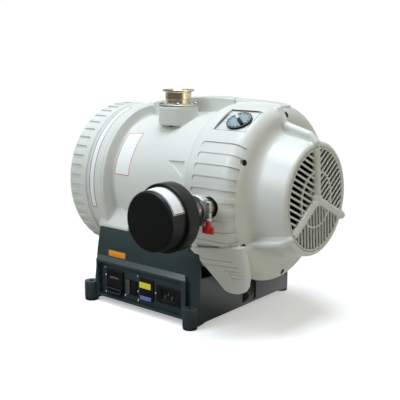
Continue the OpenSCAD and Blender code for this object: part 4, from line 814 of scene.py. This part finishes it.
coverPiece = makeCover(cover)
print("cover:", len(coverPiece.data.polygons), "faces")


# Labels: bare films with a thin printed edge
labels = {
    "lift": 0.06, "film": 0.25, "line": 0.08, "lineWidth": 1.2, "lineIn": 0.6,
    "plate": {"from": 129.5, "to": 170.7, "left": -77, "right": -37, "edge": 1},
    "band": {"from": 106, "to": 198, "left": -118, "right": -104, "edge": 2},
    "strip": {"from": 18, "to": 105, "left": 226.5, "right": 249.5, "edge": 2},
    "cup": (138.5, 205.7), "cupRadius": 46.5, "cupFlare": 2.5, "cupRound": 252, "cupDeep": 31,
}


def addFilm(bm, low, high, start, end, line, lift, thick, turn, surface, steps=24):
    # A thin patch on a turned surface, with its faces marked for a finish
    loops = []
    for k in range(steps + 1):
        angle = radians(start + (end - start) * k / steps)
        points = [(low, line(low) + lift), (high, line(high) + lift), (high, line(high) + lift + thick),
                  (low, line(low) + lift + thick)]
        loops.append([turn @ Vector((x, r * cos(angle), r * sin(angle))) for x, r in points])
    mark(addLoft(bm, loops), surface)


def addLabel(bm, place, line, turn, s):
    # The film, and a border line just inside its edge
    low, high, start, end = place["left"], place["right"], place["from"], place["to"]
    addFilm(bm, low, high, start, end, line, s["lift"], s["film"], turn, 0)
    w, gap = s["lineWidth"], s["lineIn"]
    swing, gapSwing = degrees(w / line(low)), degrees(gap / line(low))
    low, high, start, end = low + gap, high - gap, start + gapSwing, end - gapSwing
    for box in ((low, low + w, start, end), (high - w, high, start, end),
                (low + w, high - w, start, start + swing), (low + w, high - w, end - swing, end)):
        addFilm(bm, *box, line, s["lift"] + s["film"] - 0.01, s["line"], turn, place["edge"])


def makeLabels(s):
    bm = bmesh.new()
    centre = Matrix.Translation((0, 0, axisHeight))
    addLabel(bm, s["plate"], coneAt, centre, s)
    addLabel(bm, s["band"], lambda x: housing["bandRadius"], centre, s)
    # The silencer's line runs along -Y, with angles from +X upwards
    cup = Matrix(((0, 1, 0, s["cup"][0]), (-1, 0, 0, 0), (0, 0, 1, s["cup"][1]), (0, 0, 0, 1)))
    addLabel(bm, s["strip"],
             lambda y: s["cupRadius"] + s["cupFlare"] * (s["cupRound"] - y) / s["cupDeep"], cup, s)
    piece = linked("labelFilms", meshOf(bm, "labelFilms"))
    return dress(piece, "frame", "labelWhite", hidden=("label_bands",), sharp=30,
                 others=("markRed", "markBlack"))


labelPiece = makeLabels(labels)
print("labels:", len(labelPiece.data.polygons), "faces")


# Dial of the gas ballast: a black-edged disc with a raised bar and plain marks
dial = {
    "place": (171, -74.686, 343.299), "angle": 120.3, "radius": 21.6, "height": 5, "gap": 0.3, "edge": 1.0,
    "faceRadius": 19.9, "faceDeep": 0.5, "rim": 2.4,
    "barTurn": -41, "barLength": 20.3, "barWidth": 6.6, "barHeight": 4, "barPoint": 4, "barEnd": 2,
    "marks": 16, "markRadius": 15.4, "markLength": 3.2, "markWidth": 1.9, "markClear": 12,
}


def makeDial(d):
    a = radians(d["angle"])
    x, y, z = d["place"]
    turn = Matrix(((1, 0, 0, x), (0, sin(a), cos(a), y), (0, -cos(a), sin(a), z), (0, 0, 0, 1)))
    bm = bmesh.new()
    h, r, e, gap, inner = d["height"], d["radius"], d["edge"], d["gap"], d["faceRadius"]
    outline = [(gap, 0), (gap, r - e * 0.5), (gap + e * 0.5, r), (h - e, r), (h - e * 0.3, r - e * 0.3),
               (h, r - e), (h, inner), (h - d["faceDeep"], inner - 0.3), (h - d["faceDeep"], 0)]
    lathe(bm, outline, closed=True, steps=72, centre=(0, 0, 0), axis=(0, 0, 1))
    for face in bm.faces:
        middle = face.calc_center_median()
        rim = hypot(middle.x, middle.y) > d["faceRadius"] - 0.2
        face.material_index = 1 if middle.z < h - d["rim"] or (rim and middle.z > h - 0.45) else 0
    bar = bmesh.new()
    long, wide = d["barLength"], d["barWidth"] / 2
    point, end, corner = long - d["barPoint"], long - d["barEnd"], wide - 1.5
    top = [(-long, 0), (-point, -wide), (end, -wide), (long, -corner), (long, corner), (end, wide),
           (-point, wide)]
    addLoft(bar, [[Vector((p, q, h - 1)) for p, q in top],
                  [Vector((p * 0.97, q * 0.55, h + d["barHeight"])) for p, q in top]])
    bmesh.ops.recalc_face_normals(bar, faces=bar.faces)
    # The half of the bar towards the back is pale, and the other half is black; on the pale half the flank
    # facing local +Y is black too, as painted shade on the bar's shaded side
    half = bar.faces[:] + bar.edges[:] + bar.verts[:]
    bmesh.ops.bisect_plane(bar, geom=half, plane_co=(0, 0, 0), plane_no=(1, 0, 0))
    for face in bar.faces:
        face.material_index = 2 if face.calc_center_median().x < 0 and face.normal.y < 0.5 else 1
    bmesh.ops.rotate(bar, verts=bar.verts, matrix=Matrix.Rotation(radians(d["barTurn"]), 3, "Z"))
    spare = bpy.data.meshes.new("dialBar")
    bar.to_mesh(spare)
    bar.free()
    bm.from_mesh(spare)
    for k in range(d["marks"]):
        angle = 360 / d["marks"] * k
        if abs((angle - d["barTurn"] + 90) % 180 - 90) < d["markClear"]:
            continue
        mark(addBox(bm, (d["markRadius"], -d["markWidth"] / 2, h - 0.8),
                    (d["markRadius"] + d["markLength"], d["markWidth"] / 2, h - 0.35),
                    turn=Matrix.Rotation(radians(angle), 4, "Z")), 1)
    bmesh.ops.transform(bm, matrix=turn, verts=bm.verts)
    piece = linked("ballastDial", meshOf(bm, "ballastDial"))
    return dress(piece, "dial", "dialGrey", hidden=("ballast_knob",), sharp=35,
                 others=("markBlack", "dialBar"))


dialPiece = makeDial(dial)


# Panel round the dial, with a dark line just inside its edge, painted shade of the gap round the panel, and
# three plain marks
dialPanel = {
    "left": 135.8, "right": 196.6, "back": -29.3, "front": 28, "top": 145, "thick": 3, "edge": 0.5,
    "markLeft": 140, "markLength": 4, "markWidth": 0.7, "marks": (-14, -5, 4), "line": 0.9, "lineIn": 1.6,
}


def makeDialPanel(p):
    bm = bmesh.new()
    plate = addBox(bm, (p["left"], p["top"] - p["thick"], p["back"]), (p["right"], p["top"], p["front"]))
    edges = list({e for v in plate for e in v.link_edges})
    bmesh.ops.bevel(bm, geom=edges, offset=p["edge"], segments=2, profile=0.5, affect="EDGES", material=-1)
    for z in p["marks"]:
        mark(addBox(bm, (p["markLeft"], p["top"] - 0.2, z),
                    (p["markLeft"] + p["markLength"], p["top"] + 0.05, z + p["markWidth"])), 1)
    # Painted shade: the dark line just inside the edge stands for the shadowed gap round the panel
    gap, line = p["lineIn"], p["line"]
    left, right, back, front = p["left"] + gap, p["right"] - gap, p["back"] + gap, p["front"] - gap
    for low, high in (((left, front - line), (right, front)), ((right - line, back), (right, front)),
                      ((left, back), (left + line, front)), ((left, back), (right, back + line))):
        mark(addBox(bm, (low[0], p["top"] - 0.3, low[1]), (high[0], p["top"] + 0.04, high[1])), 1)
    bmesh.ops.transform(bm, matrix=aboutAxis(dial["angle"]), verts=bm.verts)
    piece = linked("dialPanel", meshOf(bm, "dialPanel"))
    return dress(piece, "frame", "offWhite", hidden=("ballast_panel",), sharp=35,
                 others=("markBlack",))


dialPanelPiece = makeDialPanel(dialPanel)
print("dial and panel made")


# Screws on the panel: domed heads with a round socket, in the node's own places
panelScrews = {"radius": 2.4, "height": 1.8, "socket": 1.1, "socketDeep": 1.1, "face": 129.8}


def nodeMesh(name):
    # A merged copy of a node's triangles, in millimetres
    bm = bmesh.new()
    bm.from_mesh(nodes[name].data)
    bmesh.ops.transform(bm, matrix=nodes[name].matrix_world, verts=bm.verts)
    bmesh.ops.remove_doubles(bm, verts=bm.verts, dist=1e-6)
    bmesh.ops.scale(bm, vec=(1 / mm, 1 / mm, 1 / mm), verts=bm.verts)
    return bm


def islandMiddles(name):
    # The middle of each loose solid of a node
    bm = nodeMesh(name)
    left = set(bm.verts)
    middles = []
    while left:
        reached = [left.pop()]
        island = []
        while reached:
            vert = reached.pop()
            island.append(vert.co.copy())
            for edge in vert.link_edges:
                other = edge.other_vert(vert)
                if other in left:
                    left.remove(other)
                    reached.append(other)
        middles.append([(min(p[k] for p in island) + max(p[k] for p in island)) / 2 for k in range(3)])
    bm.free()
    return middles


def makePanelScrews(p):
    bm = bmesh.new()
    r, h = p["radius"], p["height"]
    dome = [(p["face"] + 0.3 * h + 0.7 * h * sin(radians(t)), r * (0.55 + 0.45 * cos(radians(t))))
            for t in (25, 50, 75)]
    floor = p["face"] + h - p["socketDeep"]
    outline = ([(p["face"], r), (p["face"] + 0.3 * h, r)] + dome
               + [(p["face"] + h, p["socket"]), (floor, p["socket"]), (floor, 0), (p["face"], 0)])
    for x, _, z in islandMiddles("panel_screws"):
        lathe(bm, outline, closed=True, steps=20, centre=(x, 0, z), axis=(0, -1, 0))
    piece = linked("panelScrewHeads", meshOf(bm, "panelScrewHeads"))
    return dress(piece, "frame", "brightSteel", hidden=("panel_screws",), sharp=35)


panelScrewPiece = makePanelScrews(panelScrews)
print("panel screws made")


# Fan grille: three fields of slats between its ribs, a rim, a hoop and a domed hub
grille = {
    "left": 270, "right": 274, "radius": 85, "rim": 3, "round": 0.8, "pitch": 9.35, "slat": 3.2, "rows": 9,
    "slatRound": 0.7, "hoop": 46, "hoopWidth": 3, "ribRadius": 6.9, "ribX": 273, "ribEnd": 86,
    "hubRadius": 12.5, "hubHeight": 7, "hubDrop": 1, "slatStart": 6, "slatClear": 3,
}


def roundedRing(bm, low, high, inner, outer, edge, steps=96):
    outline = []
    for centre, start in (((high - edge, outer - edge), 0), ((low + edge, outer - edge), 90),
                          ((low + edge, inner + edge), 180), ((high - edge, inner + edge), 270)):
        outline += arcPoints(centre, edge, start, start + 90, 3)
    lathe(bm, outline, closed=True, steps=steps)


def makeGrille(g):
    bm = bmesh.new()
    inner = g["radius"] - g["rim"] + 0.5
    for angle in cowl["ribAngles"]:
        turn = aboutAxis(angle + 60)
        for i in range(-g["rows"], g["rows"] + 1):
            z = i * g["pitch"]
            if abs(z) > inner - g["slatClear"]:
                continue
            half = g["slat"] / 2
            start = max(abs(z) / tan(radians(60)) - 2, g["slatStart"])
            end = sqrt(inner ** 2 - (abs(z) + half) ** 2)
            slat = addBox(bm, (g["left"], start, z - half), (g["right"] - 0.4, end, z + half))
            edges = [e for e in {e for v in slat for e in v.link_edges}
                     if abs(e.verts[0].co.y - e.verts[1].co.y) > 1]
            made = bmesh.ops.bevel(bm, geom=edges, offset=g["slatRound"], segments=2, profile=0.5,
                                   affect="EDGES", material=-1)
            whole = {v for f in made["faces"] for v in f.verts} | {v for v in slat if v.is_valid}
            bmesh.ops.transform(bm, matrix=turn, verts=list(whole))
        addRod(bm, (g["ribX"], 0, 0), (g["ribX"], g["ribEnd"], 0), g["ribRadius"], segments=32,
               turn=aboutAxis(angle))
    roundedRing(bm, g["left"], g["right"], g["radius"] - g["rim"], g["radius"], g["round"])
    half = g["hoopWidth"] / 2
    roundedRing(bm, g["left"], g["right"] - 0.2, g["hoop"] - half, g["hoop"] + half, g["round"])
    dome = [(g["left"], 0), (g["left"], g["hubRadius"])]
    dome += [(g["right"] - g["hubDrop"] + g["hubHeight"] * sin(radians(t)), g["hubRadius"] * cos(radians(t)))
             for t in range(0, 91, 10)]
    lathe(bm, dome, closed=False, steps=48)
    piece = linked("fanGrille", meshOf(bm, "fanGrille"))
    return dress(piece, "frame", "offWhite", hidden=("fan_grille",), sharp=40)


grillePiece = makeGrille(grille)
print("grille:", len(grillePiece.data.polygons), "faces")


# Inlet: a turned flange on its foot, and four socket-head screws
inlet = {
    "place": (18.6, -49.3), "low": 361.459, "top": 389.959, "footRadius": 34, "footThick": 3,
    "grooveUp": 11.5, "lowRadius": 21, "tubeRadius": 22.5, "rimRadius": 27.5, "rimThick": 3, "taper": 1.4,
    "boreRadius": 20.5, "boreDeep": 5, "throat": 18.5, "soft": 0.5,
    "screwRing": 29.5, "screwAngles": (39, 129, 219, 309), "screwRadius": 3.4, "screwHeight": 3.5,
    "socket": 1.7, "socketDeep": 2,
}


def makeInlet(t):
    x, y = t["place"]
    low, top, e, throat = t["low"], t["top"], t["soft"], t["throat"]
    foot, neck, tube, rim, bore = (t[name + "Radius"] for name in ("foot", "low", "tube", "rim", "bore"))
    floor, groove = low + t["footThick"], low + t["grooveUp"]
    under, deep = top - t["rimThick"], top - t["boreDeep"]
    slope = under - t["taper"]
    outline = [(low, throat), (low, foot - e), (low + e, foot), (floor - e, foot), (floor, foot - e),
               (floor, neck + 1.5), (floor + 1.5, neck), (groove - 1, neck), (groove, tube - e),
               (groove + e, tube), (slope - 0.6, tube), (slope, tube + 0.6), (under, rim - e),
               (under + e, rim), (top - e, rim), (top, rim - e), (top, bore + e), (top - e, bore),
               (deep, bore), (deep, throat)]
    bm = bmesh.new()
    lathe(bm, outline, closed=True, steps=96, centre=(x, y, 0), axis=(0, 0, 1))
    for face in bm.faces:
        face.material_index = 1 if face.calc_center_median().z < floor + 0.1 else 0
    piece = linked("inletFlange", meshOf(bm, "inletFlange"))
    dress(piece, "frame", "turnedSteel", hidden=("inlet_flange",), sharp=35,
          others=("castAlloy",))
    heads = bmesh.new()
    r, up = t["screwRadius"], floor + t["screwHeight"]
    head = [(floor, 0), (floor, r), (up - 0.5, r), (up, r - 0.5), (up, t["socket"]),
            (up - t["socketDeep"], t["socket"]), (up - t["socketDeep"], 0)]
    for angle in t["screwAngles"]:
        a = radians(angle)
        lathe(heads, head, closed=True, steps=24, axis=(0, 0, 1),
              centre=(x + t["screwRing"] * cos(a), y + t["screwRing"] * sin(a), 0))
    screws = linked("inletScrewHeads", meshOf(heads, "inletScrewHeads"))
    dress(screws, "frame", "brightSteel", hidden=("inlet_screws",), sharp=35)
    return piece


inletPiece = makeInlet(inlet)
print("inlet made")


# Silencer: its front cup, with a round edge and a spigot into the rear cup
silencer = {
    "place": (138.5, 205.7), "front": 255, "split": 221, "radius": 46.5, "flare": 2.5, "round": 4,
    "edge": 0.8, "lean": 0.15, "neck": 41, "spigot": 8, "wall": 3,
}


def makeSilencer(t):
    x, z = t["place"]
    split, front, neck, wall, e = t["split"], t["front"], t["neck"], t["wall"], t["round"]
    wide, back = t["radius"] + t["flare"], split - t["spigot"]
    outline = [(back, neck - wall), (back, neck), (split, neck), (split, wide - t["edge"]),
               (split + t["edge"], wide)]
    outline += arcPoints((front - e, t["radius"] - e + t["lean"]), e, 90, 0, 8)
    outline += [(front, 0), (front - wall, 0), (front - wall, neck - wall)]
    bm = bmesh.new()
    lathe(bm, outline, closed=True, steps=128, centre=(x, 0, z), axis=(0, -1, 0))
    piece = linked("silencerFront", meshOf(bm, "silencerFront"))
    return dress(piece, "frame", "silencerBlack", hidden=("silencer_front",), sharp=35)


silencerPiece = makeSilencer(silencer)
print("silencer made")


# Remaining outside nodes: copies with rounded edges
softEdges = {
    "base_casing": 1.6, "base_plate": 0.8, "foot_pads": 1.0, "control_panel": 0.6, "control_connector": 0.8,
    "voltage_selector": 0.8, "setting_plates": 0.15, "mains_inlet": 0.6, "mains_pins": 0.2,
    "front_plate": 0.5, "rubber_mounts": 1.0, "mount_bracket": 0.8, "cowl_screws": 0.4, "cover_screws": 0.4,
    "cowl_posts": 0.4, "cooling_fan": 0.5, "inlet_strainer": 0.1, "ballast_valve": 0.5,
    "exhaust_pipe": 0.5, "centring_ring": 0.2, "flange_seal": 0.4, "clamp_half_upper": 0.7,
    "clamp_half_lower": 0.7, "clamp_bolt": 0.5, "clamp_washer": 0.2, "clamp_nut": 1.2, "silencer_rear": 1.6,
}
# Finishes that differ from the slot's own
ownFinish = {"control_panel": "darkBlue", "front_plate": "blackPlastic", "cowl_screws": "coreSteel",
             "silencer_rear": "silencerBlack"}
plateSplit = {"orangeAbove": 80, "blueBelow": 38}
neckFrom = -197.4  # the rear cup is plastic in front of this, and metal behind it
bodyOf = {name: body for body, names in frame["record"]["behaviour"]["bodies"].items() for name in names}
slotOf = {part["node"]: part["material_slot"] for part in frame["record"]["subparts"]}


def soften(name, width):
    bm = nodeMesh(name)
    bmesh.ops.dissolve_limit(bm, angle_limit=radians(0.5), verts=bm.verts, edges=bm.edges)
    soft = linked(name + "Soft", meshOf(bm, name + "Soft"))
    bevel = soft.modifiers.new("round", "BEVEL")
    bevel.width = width * mm
    bevel.segments = 2
    bevel.limit_method = "ANGLE"
    bevel.angle_limit = radians(28)
    bevel.use_clamp_overlap = True
    settle(soft)
    finishName = ownFinish.get(name, slotFinish[slotOf[name]])
    return dress(soft, bodyOf[name], finishName, hidden=(name,), sharp=38)


softPieces = {name: soften(name, width) for name, width in softEdges.items()}
print("softened nodes:", len(softPieces))

# Plates by their height, and the silencer's metal neck by its depth
plates = softPieces["setting_plates"].data
plates.materials.append(finishes["plateBlue"])
plates.materials.append(finishes["plateOrange"])
for face in plates.polygons:
    height = face.center.z / mm
    face.material_index = (2 if height > plateSplit["orangeAbove"]
                           else 1 if height < plateSplit["blueBelow"] else 0)
cup = softPieces["silencer_rear"].data
cup.materials.append(finishes["brightSteel"])
for face in cup.polygons:
    face.material_index = 1 if face.center.y / mm > neckFrom else 0


# Clamp: its ears as thin plates, a thicker washer, and the bolt's end inside the nut
clamp = {
    "earFrom": 183.8, "middle": -180, "height": 215.5, "earHigh": 13, "earShare": 0.42,
    "boltEnd": 186, "boltLow": 184, "washerMiddle": 202.275, "washerGrow": 2.6,
    "nut": (191.5, -180), "capLow": 182.5, "capHigh": 185.6, "capRadius": 4.6, "capShare": 0.8,
}


def trimClamp(c):
    for name in ("clamp_half_upper", "clamp_half_lower"):
        for vert in softPieces[name].data.vertices:
            if vert.co.x / mm > c["earFrom"] and abs(vert.co.z / mm - c["height"]) < c["earHigh"]:
                vert.co.y = (c["middle"] + (vert.co.y / mm - c["middle"]) * c["earShare"]) * mm
    for vert in softPieces["clamp_bolt"].data.vertices:
        if vert.co.z / mm < c["boltEnd"]:
            vert.co.z = max(vert.co.z, c["boltLow"] * mm)
    for vert in softPieces["clamp_washer"].data.vertices:
        if vert.co.z / mm > c["washerMiddle"]:
            vert.co.z += c["washerGrow"] * mm
    bm = bmesh.new()
    bm.from_mesh(softPieces["clamp_nut"].data)
    x, y = c["nut"]
    cap = addRod(bm, (x, y, c["capHigh"]), (x, y, c["capLow"]), c["capRadius"],
                 c["capRadius"] * c["capShare"], segments=32)
    bmesh.ops.scale(bm, vec=(mm, mm, mm), verts=cap)
    bm.to_mesh(softPieces["clamp_nut"].data)
    bm.free()


trimClamp(clamp)
print("clamp trimmed")


# Wider gap in the casing's right wall, through which the rubber mount shows
wallGap = {"low": (118, -9, 14), "high": (150, 33, 90)}
gap = bmesh.new()
addBox(gap, wallGap["low"], wallGap["high"])
carve(softPieces["base_casing"], gap)
print("casing:", len(softPieces["base_casing"].data.polygons), "faces")


# Small parts on the console: a D-shaped socket, a terminal strip and a connector's bar
console = {
    "face": 133.8, "socketLow": (-79, 22.6), "socketHigh": (-46, 31.4), "socketOut": 2.4, "socketRim": 0.8,
    "slope": 2.2, "pinRows": ((0.66, 5), (0.34, 4)), "pinSide": 2, "pinOut": 0.6, "pinRadius": 0.45,
    "stripFace": 129.8, "stripLow": (-35.5, 27), "stripHigh": (-25, 54), "stripOut": 3, "stripRows": 9,
    "tagLeft": (0.8, 5.6), "tagWidth": 4.1, "tagGap": 0.5,
    "barLow": (-76, 49), "barHigh": (-54, 52.4), "barBack": 1.2, "barThick": 1,
}


def trapeze(low, high, slope, y):
    # A D-shaped socket's outline, wide at the top
    return [(low[0] + slope, y, low[1]), (high[0] - slope, y, low[1]), (high[0], y, low[1] + slope),
            (high[0], y, high[1]), (low[0], y, high[1]), (low[0], y, low[1] + slope)]


def makeConsoleParts(c):
    bm = bmesh.new()
    face, rim, slope = -c["face"], c["socketRim"], c["slope"]
    low, high = Vector(c["socketLow"]), Vector(c["socketHigh"])
    lowIn, highIn = low + Vector((rim, rim)), high - Vector((rim, rim))
    front = face - c["socketOut"]
    rings = [[bm.verts.new(p) for p in trapeze(a, b, slope, y)] for a, b, y in
             ((low, high, face + 1), (low, high, front), (lowIn, highIn, front), (lowIn, highIn, face - 0.2))]
    for ring, (near, far) in enumerate(zip(rings, rings[1:])):
        for k in range(6):
            side = bm.faces.new((near[k], near[(k + 1) % 6], far[(k + 1) % 6], far[k]))
            side.material_index = 2 if ring == 1 else 0
    bm.faces.new(rings[0])
    bm.faces.new(rings[-1]).material_index = 1
    wide = highIn.x - lowIn.x - 2 * c["pinSide"]
    most = max(count for _, count in c["pinRows"])
    for row, count in c["pinRows"]:
        for k in range(count):
            x = lowIn.x + c["pinSide"] + wide * (k + 0.5 + (most - count) / 2) / most
            z = lowIn.y + (highIn.y - lowIn.y) * row
            addRod(bm, (x, face, z), (x, front + c["pinOut"], z), c["pinRadius"], segments=8)
    # The strip, with two columns of metal tags
    (left, low), (right, high), back = c["stripLow"], c["stripHigh"], -c["stripFace"]
    mark(addBox(bm, (left, back - c["stripOut"] + 1, low), (right, back, high)), 1)
    step = (high - low) / c["stripRows"]
    for k in range(c["stripRows"]):
        bottom, top = low + step * k + c["tagGap"], low + step * (k + 1) - c["tagGap"]
        for tag in c["tagLeft"]:
            mark(addBox(bm, (left + tag, back - c["stripOut"], bottom),
                        (left + tag + c["tagWidth"], back - 1, top)), 2)
    (left, low), (right, high), near = c["barLow"], c["barHigh"], face + c["barBack"]
    mark(addBox(bm, (left, near, low), (right, near + c["barThick"], high)), 2)
    piece = linked("consoleParts", meshOf(bm, "consoleParts"))
    return dress(piece, "frame", "blackPlastic", hidden=("serial_socket", "status_strip"),
                 sharp=30, others=("markBlack", "castAlloy"))


consolePiece = makeConsoleParts(console)
print("console parts made")
